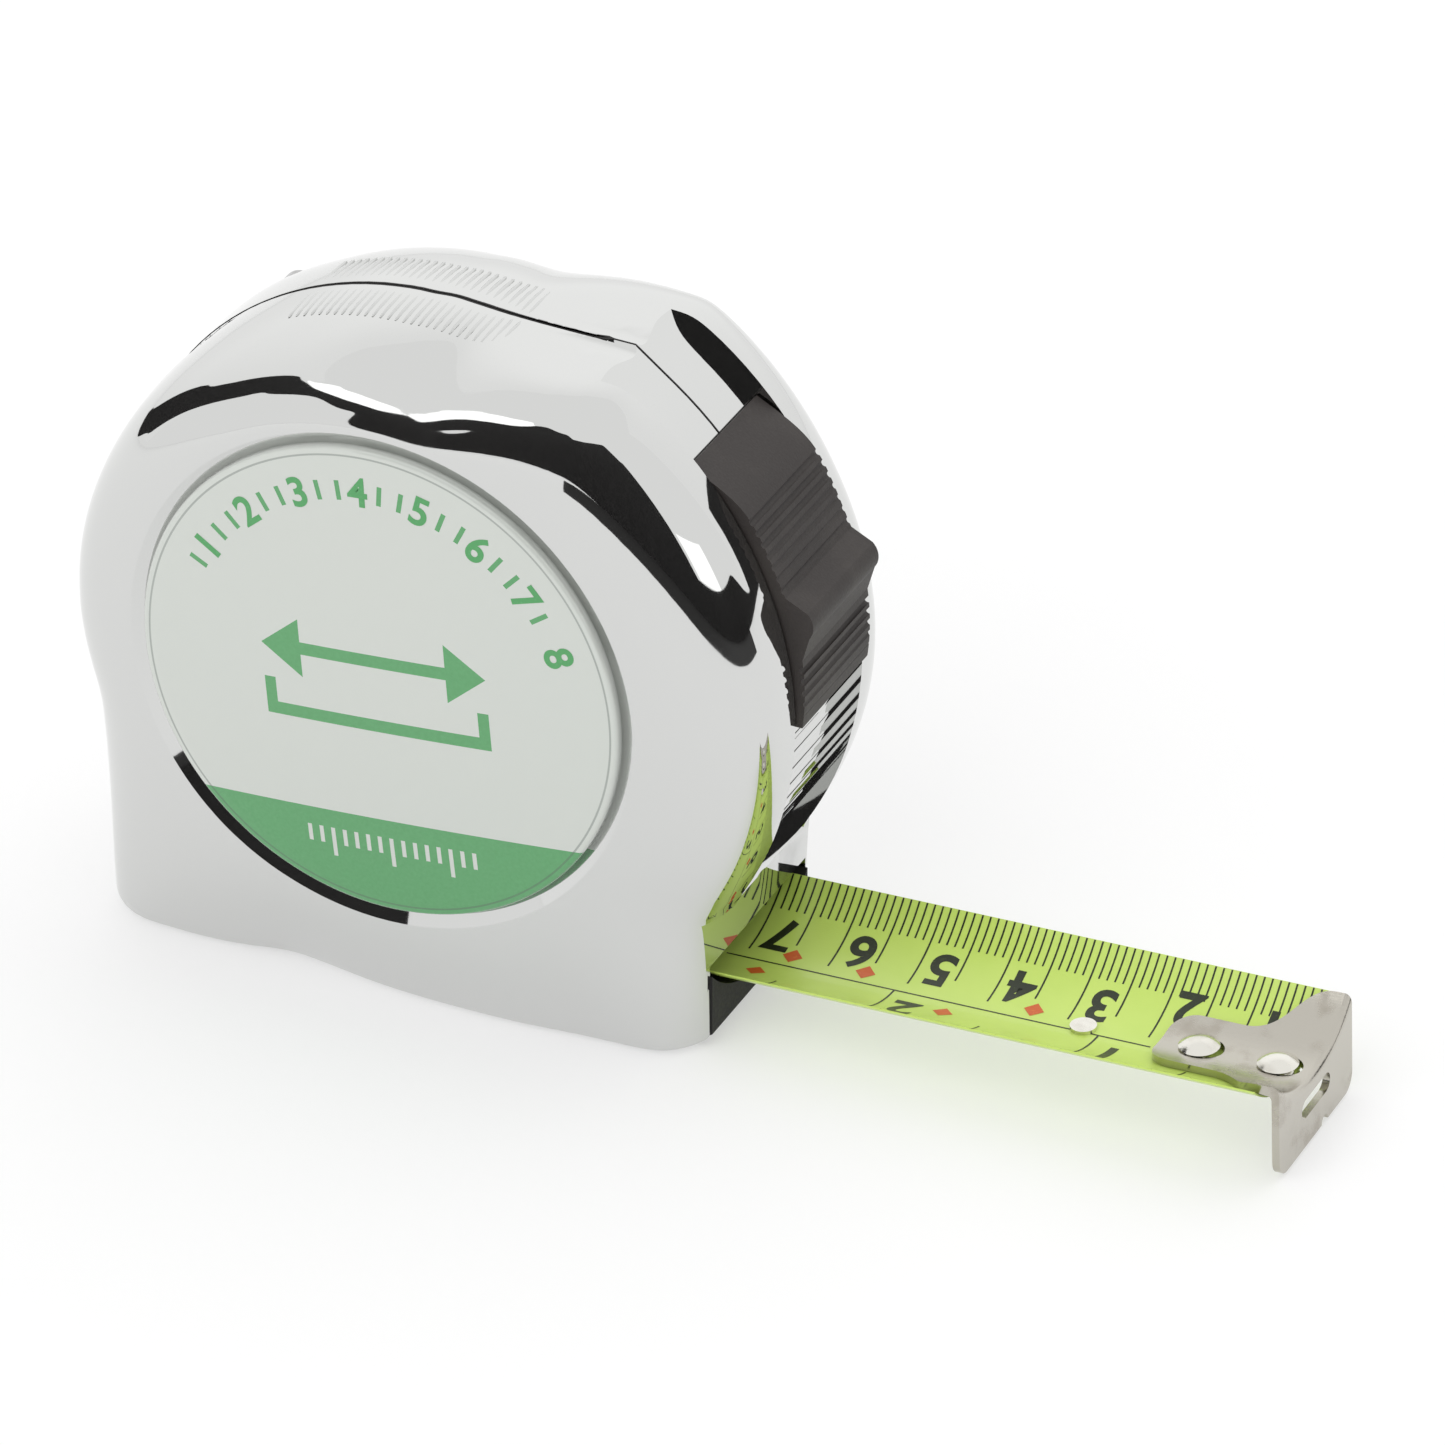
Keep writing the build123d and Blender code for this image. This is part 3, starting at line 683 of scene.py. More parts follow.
    def polish(self, node: bpy.types.Object) -> bpy.types.Mesh:
        """Copy of a case half with a finer skin, even normals and a groove along the seam.

        Args:
            node: The half.

        Returns:
            The new mesh. Faces off the skin keep their normals.
        """
        mesh = node.data.copy()
        kept = {}
        for loop, normal in zip(mesh.loops, mesh.corner_normals):
            kept[loop.vertex_index] = normal.vector.copy()
        on_skin = set()
        for vertex in mesh.vertices:
            normal, distance = self.slope(vertex.co)
            if distance < self.near and normal.dot(kept[vertex.index]) > self.agree:
                on_skin.add(vertex.index)
        grid = bmesh.new()
        grid.from_mesh(mesh)
        way = grid.verts.layers.float_vector.new("way")
        skin = grid.faces.layers.int.new("skin")
        for vertex in grid.verts:
            vertex[way] = kept[vertex.index]
        for face in grid.faces:
            face[skin] = int(all(v.index in on_skin for v in face.verts))
        side = math.copysign(self.seam_half, sum(v.co.y for v in grid.verts))
        parts = grid.verts[:] + grid.edges[:] + grid.faces[:]
        bmesh.ops.bisect_plane(grid, geom=parts, plane_co=(0, side, 0), plane_no=(0, 1, 0))
        bmesh.ops.triangulate(grid, faces=[f for f in grid.faces if len(f.verts) > 3])
        for _ in range(self.cuts):
            long = {e for f in grid.faces if f[skin] for e in f.edges if e.calc_length() > self.longest}
            if not long:
                break
            bmesh.ops.subdivide_edges(grid, edges=list(long), cuts=1)
            bmesh.ops.triangulate(grid, faces=[f for f in grid.faces if len(f.verts) > 3])
        for vertex in {v for f in grid.faces if f[skin] for v in f.verts}:
            vertex[way] = self.slope(vertex.co)[0]
            self.press_in(vertex)
        ways = [vertex[way].normalized() for vertex in grid.verts]
        grid.to_mesh(mesh)
        grid.free()
        mesh.validate()
        mesh.normals_split_custom_set_from_vertices(ways)
        return mesh

    def press_in(self, vertex: bmesh.types.BMVert) -> None:
        """Push a point at the seam in, to make the groove."""
        out = Vector((vertex.co.x, 0, vertex.co.z - self.axis_z * MM))
        turn = math.degrees(math.atan2(out.z, out.x)) % 360
        if abs(vertex.co.y) < 0.9 * self.seam_half and self.seam_turns[0] < turn < self.seam_turns[1]:
            vertex.co -= out.normalized() * self.seam_depth


def surface_tree(mesh: bpy.types.Mesh) -> BVHTree:
    """Search tree of a mesh, to find points on its surface."""
    return BVHTree.FromPolygons([v.co for v in mesh.vertices], [list(p.vertices) for p in mesh.polygons])


@dataclass
class Case:
    """Two chromed halves with a black strip along the seam and the grip ribs beside it."""
    nodes: dict[str, bpy.types.Object]
    finishes: dict[Slot, bpy.types.Material]
    axis_z: float = 43.0 * MM
    seam_turns: tuple[float, float] = (64.0, 128.0)
    seam_half: float = 0.4 * MM
    line_turns: tuple[float, float] = (42.0, 204.0)
    line_half: float = 0.1 * MM
    line_steps: int = 162
    strip_depth: float = 0.5 * MM
    beside: tuple[float, float] = (0.05 * MM, 0.8 * MM)
    front_lift: float = 0.07 * MM
    lift_past: float = 6.0
    rib_count: int = 28
    rib_pitch: float = 0.97 * MM
    rib_start: float = -17.5 * MM
    rib_reach: float = 4.2 * MM
    rib_radius: float = 0.32 * MM
    rib_proud: float = 0.07 * MM
    rib_offset: float = 3.2 * MM
    shells: list[bpy.types.Object] = field(default_factory=list)

    def build(self) -> None:
        """Make the shells, the seam's black strip and the ribs."""
        for half in ("near", "far"):
            self.shells.append(self.shell(half))
        self.gasket()
        satin = ChromePlate("chrome_satin", (0.6, 0.605, 0.595), 0.12).material()
        for shell, side in zip(self.shells, (-1, 1)):
            self.ribs(shell, side, satin)

    def shell(self, half: str) -> bpy.types.Object:
        """One half, polished, in place of its node."""
        node = f"case_{half}"
        mesh = Skin().polish(self.nodes[node])
        piece = add_piece(f"case_shell_{half}", mesh, "case", self.finishes[Slot.CHROME])
        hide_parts(node)
        return piece

    def gasket(self) -> None:
        """Black strip in the groove of the seam, wide on top and thin down the back and the front."""
        surface = surface_tree(self.shells[0].data)
        axis = Vector((0, 0, self.axis_z))
        origins = [Vector((0, -beside, self.axis_z)) for beside in self.beside]

        def build(grid: bmesh.types.BMesh) -> None:
            """Lay a square section along the seam."""
            rows = []
            start, end = self.line_turns
            for i in range(self.line_steps + 1):
                turn = start + (end - start) * i / self.line_steps
                ray = Vector((math.cos(math.radians(turn)), 0, math.sin(math.radians(turn))))
                reach = max((surface.ray_cast(o + ray * 0.1, -ray)[0] - o).length for o in origins)
                reach += self.front_lift if turn < self.seam_turns[0] + self.lift_past else 0
                low, high = axis + ray * (reach - self.strip_depth), axis + ray * reach
                wide = self.seam_turns[0] <= turn <= self.seam_turns[1]
                across = Vector((0, self.seam_half if wide else self.line_half, 0))
                corners = (low - across, high - across, high + across, low + across)
                rows.append([grid.verts.new(corner) for corner in corners])
            for a, b in zip(rows, rows[1:]):
                for j in range(4):
                    grid.faces.new((a[j], a[(j + 1) % 4], b[(j + 1) % 4], b[j]))
            grid.faces.new(rows[0])
            grid.faces.new(rows[-1])

        # the black strip draws the seam's dark line; the groove under it keeps even normals and gives no shade of
        # its own
        add_piece("seam_gasket", mesh_from(build, 40), "case", self.finishes[Slot.RUBBER])

    def ribs(self, shell: bpy.types.Object, side: int, satin: bpy.types.Material) -> None:
        """Fine grip ribs beside the seam, laid on the shell by Geometry Nodes.

        Args:
            shell: The half that they lie on.
            side: -1 for the label side, 1 for the far side.
            satin: Their finish, a little duller than the shell's.
        """
        tree = GeometryTree(f"grip_ribs_{shell.name}")
        count = tree.count("Ribs", self.rib_count)
        pitch = tree.size("Pitch", self.rib_pitch)
        radius = tree.size("Rib radius", self.rib_radius)
        length = tree.size("Rib reach", self.rib_reach)
        proud = tree.size("Height", self.rib_proud)
        target = tree.given("Shell", shell, "NodeSocketObject")
        start = Vector((self.rib_start, side * self.rib_offset, 0.12))
        line = tree.add("GeometryNodeMeshLine", {"mode": "OFFSET"},
                        {"Count": count, "Start Location": start, "Offset": tree.vector(pitch)})
        source = tree.add("GeometryNodeObjectInfo", inputs={"Object": target})
        cast = tree.add("GeometryNodeRaycast", inputs={
            "Target Geometry": source.outputs["Geometry"], "Ray Direction": (0, 0, -1), "Ray Length": 0.2})
        normal = cast.outputs["Hit Normal"]
        sink = tree.add("ShaderNodeVectorMath", {"operation": "SCALE"}, {0: normal, "Scale": proud - radius})
        spot = tree.add("ShaderNodeVectorMath", {"operation": "ADD"},
                        {0: cast.outputs["Hit Position"], 1: sink.outputs[0]})
        laid = tree.add("GeometryNodeSetPosition", inputs={0: line.outputs[0], "Position": spot.outputs[0]})
        ball = tree.add("GeometryNodeMeshUVSphere", inputs={"Segments": 10, "Rings": 8, "Radius": 1.0})
        lying = tree.add("GeometryNodeTransform", inputs={
            0: ball.outputs[0], "Scale": tree.vector(radius, length, radius)})
        part = tree.add("ShaderNodeSeparateXYZ", inputs={0: normal})
        lean = pitch.math("ARCTAN2", tree.num(part.outputs[0]), tree.num(part.outputs[2]))
        ribs = tree.add("GeometryNodeInstanceOnPoints", inputs={
            "Points": laid.outputs[0], "Instance": lying.outputs[0], "Rotation": tree.vector(0.0, lean)})
        mesh = tree.mesh(ribs.outputs[0], satin)
        shade(mesh, 50)
        add_piece(f"grip_ribs_{'near' if side < 0 else 'far'}", mesh, "case", satin)


def text_grid(text: str, height: float, bold: float = 0.034) -> bmesh.types.BMesh:
    """Flat text with its middle at the origin, cut into narrow rows so that it can be bent.

    Args:
        text: The text.
        height: Height of its figures.
        bold: Growth of its strokes, as a share of the height.

    Returns:
        A bmesh in X and Y.
    """
    curve = bpy.data.curves.new("text", "FONT")
    curve.body = text
    curve.size = height * FIGURE_EM
    curve.offset = height * bold
    curve.align_x = "CENTER"
    curve.resolution_u = 6
    holder = bpy.data.objects.new("text", curve)
    flat = bpy.data.meshes.new_from_object(holder)
    bpy.data.objects.remove(holder)
    tall = [v.co.y for v in flat.vertices]
    grid = bmesh.new()
    grid.from_mesh(flat)
    bmesh.ops.translate(grid, verts=grid.verts, vec=(0, -(max(tall) + min(tall)) / 2, 0))
    for i in range(-TEXT_CUTS, TEXT_CUTS + 1):
        parts = grid.verts[:] + grid.edges[:] + grid.faces[:]
        bmesh.ops.bisect_plane(grid, geom=parts, plane_co=(0, i * height / (2 * TEXT_CUTS), 0), plane_no=(0, 1, 0))
    return grid


def grid_mesh(grid: bmesh.types.BMesh, facing: Vector) -> bpy.types.Mesh:
    """Mesh of a flat print, with its faces turned one way."""
    grid.normal_update()
    bmesh.ops.reverse_faces(grid, faces=[f for f in grid.faces if f.normal.dot(facing) < 0])
    mesh = bpy.data.meshes.new("print")
    grid.to_mesh(mesh)
    grid.free()
    return mesh


@dataclass
class Label:
    """Round label: printed disc under a clear dome, with a dial's numbers round its upper part."""
    finishes: dict[Slot, bpy.types.Material]
    tilt: float = math.radians(4.4)
    rings: int = 128
    dome_rings: int = 12
    rim_roll: float = 0.5 * MM
    crown: float = 0.9 * MM
    number_r: float = 24.8 * MM
    number_height: float = 3.6 * MM
    number_step: float = math.radians(18.0)
    numbers: int = 8
    lift: float = 0.02 * MM

    def build(self) -> None:
        """Turn the dome on its axis and print the numbers."""
        low, high = (Vector(corner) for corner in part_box("label"))
        self.middle = (low + high) / 2
        self.front = low.y
        self.edge = (high.x - low.x) / 2 - self.rim_roll
        profile = self.profile((high.x - low.x) / 2, high.y)

        def build(grid: bmesh.types.BMesh) -> None:
            """Turn the half section round the label's axis."""
            loops = []
            for r, y in profile:
                turns = [2 * math.pi * i / self.rings for i in range(self.rings)]
                loops.append([grid.verts.new((self.middle.x + r * math.cos(t), y, self.middle.z + r * math.sin(t)))
                              for t in turns])
            for a, b in zip(loops, loops[1:]):
                for i in range(self.rings):
                    j = (i + 1) % self.rings
                    grid.faces.new((a[i], a[j], b[j], b[i]))

        piece = add_piece("label_dome", mesh_from(build, 40), "case", self.finishes[Slot.LABEL])
        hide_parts("label")
        self.dial()

    def dome(self, radius: float) -> float:
        """Y of the dome's front at a radius."""
        return self.front + self.crown * (radius / self.edge) ** 2

    def profile(self, radius: float, back: float) -> list[tuple[float, float]]:
        """Half section of the dome, from the back's middle to the front's middle, as radius and Y."""
        rim = self.dome(self.edge)
        points = [(0.0, back), (radius, back), (radius, rim + self.rim_roll)]
        for i in range(1, 5):
            turn = math.pi / 2 * i / 4
            points.append((self.edge + self.rim_roll * math.cos(turn), rim + self.rim_roll * (1 - math.sin(turn))))
        for i in range(1, self.dome_rings + 1):
            share = self.edge * (1 - i / self.dome_rings)
            points.append((share, self.dome(share)))
        return points

    def dial(self) -> None:
        """Numbers round the upper part of the dome."""
        ink = Ink("label_ink", linear(84, 160, 98), linear(98, 170, 112)).material()
        for i in range(self.numbers):
            turn = (i - (self.numbers - 1) / 2) * self.number_step + self.tilt
            grid = text_grid(str(i + 1), self.number_height)
            for vertex in grid.verts:
                out, side = self.number_r + vertex.co.y, vertex.co.x
                x = out * math.sin(turn) + side * math.cos(turn)
                z = out * math.cos(turn) - side * math.sin(turn)
                vertex.co = (self.middle.x + x, self.dome(math.hypot(x, z)) - self.lift, self.middle.z + z)
            mesh = grid_mesh(grid, Vector((0, -1, 0)))
            add_piece(f"dial_number_{i + 1}", mesh, "case", ink)


@dataclass
class Blade:
    """Printed hollow of the blade: ticks, numbers, the dividing line and coloured marks."""
    axis: Vector
    finishes: dict[Slot, bpy.types.Material]
    mouth: Vector = field(default_factory=lambda: Vector((37.7 * MM, 0, 4.9 * MM)))
    hollow: float = 16.5 * MM
    half_width: float = 12.45 * MM
    zero: float = 68.4 * MM
    printed: float = 72.0 * MM
    lift: float = 0.025 * MM
    divider: float = -0.8 * MM
    inch: float = 25.4 * MM
    tick_width: float = 0.22 * MM
    first_tick: int = 3
    line_half: float = 0.12 * MM
    divider_from: float = 19.0 * MM
    figure_height: float = 5.0 * MM
    figure_gap: float = 2.7 * MM
    figure_across: float = 4.2 * MM
    clear_across: float = 6.2 * MM
    inch_gap: float = 3.0 * MM
    inch_across: float = -5.4 * MM
    mark_half: float = 1.25 * MM
    marks_at: tuple[tuple[float, float], ...] = ((34.3, 1.3), (55.4, 1.3), (64.6, 1.3), (43.5, -3.6), (67.0, -3.6))

    def build(self) -> None:
        """Print the scale."""
        dark = Ink("scale_ink", linear(34, 42, 20), linear(58, 70, 30)).material()
        red = Ink("mark_ink", linear(206, 92, 30), linear(214, 120, 50)).material()
        self.ticks("scale_millimetres", dark, 71, 1.0 * MM, (7.9 * MM, 3.2 * MM, 1.0 * MM), (5, 10), 1)
        self.ticks("scale_inches", dark, 44, self.inch / 16, (10.2 * MM, 8.4 * MM, 5.5 * MM), (4, 8), -1)
        self.lines(dark)
        self.figures(dark)
        self.marks(red)

    def place(self, along: float, across: float) -> Vector:
        """Point on the print.

        Args:
            along: Distance from the zero of the scale towards the case.
            across: Distance along the curve from the blade's middle to the far edge.

        Returns:
            The point, in the model's frame.
        """
        turn = across / self.hollow
        inside = self.hollow - self.lift
        side = Vector((0, 1, 0))
        up = self.axis.cross(side)
        return (self.mouth + self.axis * (self.zero - along) + side * inside * math.sin(turn)
                + up * (self.hollow - inside * math.cos(turn)))

    def curl(self, mesh: bpy.types.Mesh) -> bpy.types.Mesh:
        """Bend a flat print, drawn in along and across, into the blade's hollow."""
        for vertex in mesh.vertices:
            vertex.co = self.place(vertex.co.x, vertex.co.y)
        mesh.update()
        return mesh

    def ticks(self, name: str, ink: bpy.types.Material, count: int, pitch: float,
              ends: tuple[float, float, float], every: tuple[int, int], side: int) -> None:
        """Row of ticks from one edge, with longer ones at two steps, by Geometry Nodes.

        Args:
            name: The piece's name.
            ink: Its material.
            count: Number of ticks.
            pitch: Distance between them.
            ends: Inner end of the short, middle and long ticks, across the blade.
            every: Steps of the middle and long ticks.
            side: 1 for the far edge, -1 for the near edge.
        """
        tree = GeometryTree(name)
        number = tree.count("Ticks", count)
        step = tree.size("Pitch", pitch)
        width = tree.size("Tick width", self.tick_width)
        edge = tree.size("Edge", self.half_width)
        short, middle, long_one = (tree.size(f"{label} end", end)
                                   for label, end in zip(("Short", "Middle", "Long"), ends))
        line = tree.add("GeometryNodeMeshLine", {"mode": "OFFSET"}, {
            "Count": number, "Start Location": tree.vector(step * self.first_tick), "Offset": tree.vector(step)})
        order = tree.num(tree.add("GeometryNodeInputIndex").outputs[0]) + self.first_tick
        is_middle = order.remainder(every[0]) < 0.5
        is_long = order.remainder(every[1]) < 0.5
        end = short - is_middle * (short - middle)
        end = end - is_long * (end - long_one)
        length = edge - end
        bar = tree.add("GeometryNodeMeshGrid", inputs={
            "Size X": width, "Size Y": 1.0, "Vertices X": 2, "Vertices Y": 10})
        hung = tree.add("GeometryNodeTransform", inputs={0: bar.outputs[0], "Translation": (0, -0.5, 0)})
        rows = tree.add("GeometryNodeInstanceOnPoints", inputs={
            "Points": line.outputs[0], "Instance": hung.outputs[0], "Scale": tree.vector(1.0, length, 1.0)})
        moved = tree.add("GeometryNodeTransform", inputs={
            0: rows.outputs[0], "Translation": tree.vector(0.0, edge)})
        mesh = tree.mesh(moved.outputs[0], ink)
        for vertex in mesh.vertices:
            vertex.co.y *= side
        add_piece(name, self.facing(self.curl(mesh)), "blade", ink)

    def facing(self, mesh: bpy.types.Mesh) -> bpy.types.Mesh:
        """Turn the print's faces into the hollow."""
        grid = bmesh.new()
        grid.from_mesh(mesh)
        return grid_mesh(grid, self.axis.cross(Vector((0, 1, 0))))

    def lines(self, ink: bpy.types.Material) -> None:
        """Dividing line along the middle, and a line across at each inch."""
        half = self.line_half

        def build(grid: bmesh.types.BMesh) -> None:
            """Draw the lines as bars."""
            self.bar(grid, (self.divider_from, self.printed), (self.divider - half, self.divider + half))
            for number in (1, 2):
                at = number * self.inch
                self.bar(grid, (at - half, at + half), (-self.half_width, self.divider))
        add_piece("scale_lines", self.facing(mesh_from(build)), "blade", ink)

    def bar(self, grid: bmesh.types.BMesh, along: tuple[float, float], across: tuple[float, float]) -> None:
        """Printed bar between two places along and across."""
        steps = 12
        for i in range(steps):
            v0 = across[0] + (across[1] - across[0]) * i / steps
            v1 = across[0] + (across[1] - across[0]) * (i + 1) / steps
            corners = ((along[0], v0), (along[1], v0), (along[1], v1), (along[0], v1))
            grid.faces.new([grid.verts.new(self.place(*c)) for c in corners])

    def figures(self, ink: bpy.types.Material) -> None:
        """Numbers of the scale, which read from the far side. The first two stand clear of the hook."""
        for number in range(1, 8):
            across = self.clear_across if number < 3 else self.figure_across
            self.figure(str(number), number * 10 * MM - self.figure_gap, across, ink)
        for number in (1, 2):
            self.figure(str(number), number * self.inch - self.inch_gap, self.inch_across, ink, "inch")

    def figure(self, text: str, along: float, across: float, ink: bpy.types.Material,
               unit: str = "centimetre") -> None:
        """One number.

        Args:
            text: The number.
            along: Its middle, from the zero.
            across: Its middle, from the blade's middle.
            ink: Its material.
            unit: Word for the piece's name.
        """
        grid = text_grid(text, self.figure_height)
        for vertex in grid.verts:
            vertex.co = self.place(along + vertex.co.x, across - vertex.co.y)
        mesh = grid_mesh(grid, self.axis.cross(Vector((0, 1, 0))))
        add_piece(f"{unit}_{text}", mesh, "blade", ink)

    def marks(self, ink: bpy.types.Material) -> None:
        """Plain coloured diamonds between the numbers."""
        half = self.mark_half

        def build(grid: bmesh.types.BMesh) -> None:
            """Draw one face for each diamond."""
            for along, across in self.marks_at:
                a, v = along * MM, across * MM
                corners = ((a - half, v), (a, v - half), (a + half, v), (a, v + half))
                grid.faces.new([grid.verts.new(self.place(*c)) for c in corners])
        add_piece("scale_diamonds", self.facing(mesh_from(build)), "blade", ink)


@dataclass(frozen=True)
class Studio:
    """Pale floor, soft lamps, a dark wall behind the camera, and the photograph's camera."""
    azimuth: float = 25.39
    elevation: float = 31.76
    distance: float = 1.2
    aim: tuple[float, float, float] = (33.2 * MM, 0.0, 35.2 * MM)
    lens: float = 263.54
    wall_radius: float = 1.7
    wall_stops: tuple[tuple[float, float, float], ...] = (
        (-205.0, 0.0, 0.05), (-190.0, 0.0, 0.8), (-178.0, 0.15, 1.7), (-165.0, 1.1, 1.8), (-145.0, 1.5, 1.9),
        (-125.0, 1.2, 1.9), (-114.0, 0.1, 2.6), (-95.0, 0.05, 2.2), (-85.0, 0.0, 1.8), (-50.0, 0.0, 2.2),
        (-38.0, 0.0, 1.5), (-35.0, 0.0, 0.32), (15.0, 0.0, 0.36), (32.0, 0.0, 0.1), (36.0, 0.0, 0.65),
        (50.0, 0.0, 0.65))
    band_stops: tuple[tuple[float, float, float], ...] = (
        (-172.0, 1.85, 1.9), (-160.0, 1.85, 2.5), (-145.0, 1.9, 2.7), (-128.0, 1.9, 2.9), (-118.0, 2.3, 2.5))
    band_share: float = 1.02
    band_level: float = 1.6
    glow_turns: tuple[float, float] = (30.0, 190.0)
    glow_heights: tuple[float, float] = (0.1, 2.6)
    glow_share: float = 1.2
    glow_level: float = 1.13
    glow_fades: tuple[float, float] = (0.6, 1.2)
    apron_turns: tuple[float, float] = (-95.0, 15.0)
    apron_radius: float = 0.45
    sky_level: float = 0.75
    floor_half: float = 4.0
    floor_white: float = 0.5

    def build(self) -> None:
        """Make the camera, the light and the stage."""
        bpy.context.scene.view_settings.view_transform = "Standard"
        self.camera()
        self.world()
        self.floor()
        self.wall()
        self.apron()
        self.band()
        self.glow()
        self.card("card_right", spot=(1.55, -0.55, 0.5), size=(0.75, 0.34), level=1.6)
        self.lamp("key", spot=(-0.5, -1.6, 1.9), size=2.0, watts=19.0)
        self.lamp("top", spot=(0.2, 1.4, 2.0), size=3.0, watts=16.0)

    def camera(self) -> None:
        """Camera at the photograph's viewing angle."""
        turn, rise = math.radians(self.azimuth), math.radians(self.elevation)
        back = Vector((math.sin(turn) * math.cos(rise), -math.cos(turn) * math.cos(rise), math.sin(rise)))
        data = bpy.data.cameras.new("camera")
        data.lens = self.lens
        data.sensor_width = 36.0
        data.clip_start = 0.01
        camera = bpy.data.objects.new("camera", data)
        camera.location = Vector(self.aim) + back * self.distance
        camera.rotation_euler = back.to_track_quat("Z", "Y").to_euler()
        bpy.context.collection.objects.link(camera)
        bpy.context.scene.camera = camera

    def world(self) -> None:
        """White background for the camera and the metal, softer light for the rest."""
        world = bpy.data.worlds.new("studio")
        world.use_nodes = True
        bpy.context.scene.world = world
        nodes = Nodes(world.node_tree)
        strength = self.seen(nodes) * (1 - self.sky_level) + self.sky_level
        light = nodes.add("ShaderNodeBackground", inputs={"Color": (1, 1, 1, 1), "Strength": strength})
        nodes.add("ShaderNodeOutputWorld", inputs={"Surface": light.outputs[0]})

    @staticmethod
    def seen(nodes: Nodes) -> Num:
        """One for what the camera sees, directly or in metal or glass, else nought."""
        path = nodes.add("ShaderNodeLightPath")
        kinds = [nodes.num(path.outputs[f"Is {kind} Ray"]) for kind in ("Camera", "Glossy", "Transmission")]
        return kinds[0].larger(kinds[1]).larger(kinds[2])

    def floor(self) -> None:
        """Pale floor, half of it plain white where it is seen, so that its shadow stays light."""
        def build(grid: bmesh.types.BMesh) -> None:
            """Lay one square."""
            bmesh.ops.create_grid(grid, x_segments=1, y_segments=1, size=self.floor_half)
        paint = Paint("floor")
        share = self.seen(paint) * self.floor_white
        pale = paint.blend(paint.noise(3.0), (0.93, 0.93, 0.93), (0.95, 0.95, 0.95))
        paint.set(base_color=paint.blend(share, pale, (0.0, 0.0, 0.0)), roughness=0.9,
                  emission_color=paint.blend(share, (0.0, 0.0, 0.0), (1.0, 1.0, 1.0)), emission_strength=1.0)
        self.stage("floor", mesh_from(build), paint.material)

    def wall(self) -> None:
        """Dark wall round the front, with its lower and upper edges shaped by turn, seen only in the chrome."""
        self.dark("dark_wall", lambda grid: self.fence(grid, self.wall_radius, self.wall_stops))

    def band(self) -> None:
        """Bright band behind the wall's upper edge, seen only in the chrome."""
        paint = Paint("bright_band")
        paint.set(base_color=(0.0, 0.0, 0.0), emission_color=(1.0, 1.0, 1.0), emission_strength=self.band_level)
        mesh = mesh_from(lambda grid: self.fence(grid, self.band_share * self.wall_radius, self.band_stops))
        self.unseen(self.stage("bright_band", mesh, paint.material))

    def glow(self) -> None:
        """Slightly brighter sky behind the object, fading to its edges, seen only in the chrome."""
        paint = Paint("glow")
        x, y, z = paint.axes()
        low, high = self.glow_heights
        turn = x.math("ARCTAN2", y, x)
        middle = math.radians(sum(self.glow_turns) / 2)
        half = math.radians(self.glow_turns[1] - self.glow_turns[0]) / 2
        share = (half - abs(turn - middle)).soft_step(0.0, half) * (z - low).soft_step(0.0, self.glow_fades[0])
        share = share * (high - z).soft_step(0.0, self.glow_fades[1])
        level = (self.glow_level,) * 3
        paint.set(base_color=(0.0, 0.0, 0.0), emission_color=paint.blend(share, (1.0, 1.0, 1.0), level),
                  emission_strength=1.0)
        stops = tuple((turn, *self.glow_heights) for turn in self.glow_turns)
        mesh = mesh_from(lambda grid: self.fence(grid, self.glow_share * self.wall_radius, stops, 40))
        self.unseen(self.stage("glow", mesh, paint.material))

    def fence(self, grid: bmesh.types.BMesh, radius: float, stops: Sequence[tuple[float, float, float]],
              steps: int = 8) -> None:
        """Upright strip round the object.

        Args:
            grid: The bmesh to add it to.
            radius: Its distance from the object.
            stops: Turn in degrees, lower and upper edge at each stop, eased between them.
            steps: Faces from stop to stop.
        """
        for start, end in zip(stops, stops[1:]):
            rows = []
            for i in range(steps + 1):
                ease = (1 - math.cos(math.pi * i / steps)) / 2
                low, high = (a + (b - a) * ease for a, b in zip(start[1:], end[1:]))
                turn = start[0] + (end[0] - start[0]) * i / steps
                rows.append([self.point_at(grid, radius, turn, z) for z in (low, high)])
            for a, b in zip(rows, rows[1:]):
                grid.faces.new((a[0], b[0], b[1], a[1]))

    def apron(self) -> None:
        """Dark floor before the wall, seen only in the chrome."""
        def build(grid: bmesh.types.BMesh) -> None:
            """Lay a flat part of a ring."""
            steps = 24
            start, end = self.apron_turns
            rows = [[self.point_at(grid, r, start + (end - start) * i / steps, 0.001)
                     for r in (self.apron_radius, self.wall_radius)] for i in range(steps + 1)]
            for a, b in zip(rows, rows[1:]):
                grid.faces.new((a[0], b[0], b[1], a[1]))
        self.dark("dark_apron", build)

    @staticmethod
    def point_at(grid: bmesh.types.BMesh, radius: float, turn: float, z: float) -> bmesh.types.BMVert:
        """Point round the object at a turn in degrees."""
        angle = math.radians(turn)
        return grid.verts.new((radius * math.cos(angle), radius * math.sin(angle), z))

    def dark(self, name: str, build: Callable[[bmesh.types.BMesh], None]) -> None:
        """Add a dark piece of the studio."""
        paint = Paint(name)
        paint.set(base_color=(0.012, 0.011, 0.011), roughness=0.9)
        self.unseen(self.stage(name, mesh_from(build), paint.material))

    def card(self, name: str, spot: tuple[float, float, float], size: tuple[float, float], level: float) -> None:
        """Bright card before the wall, seen only in the chrome."""
        turn = (Vector(spot) - Vector(self.aim)).to_track_quat("Z", "Y").to_matrix().to_4x4()

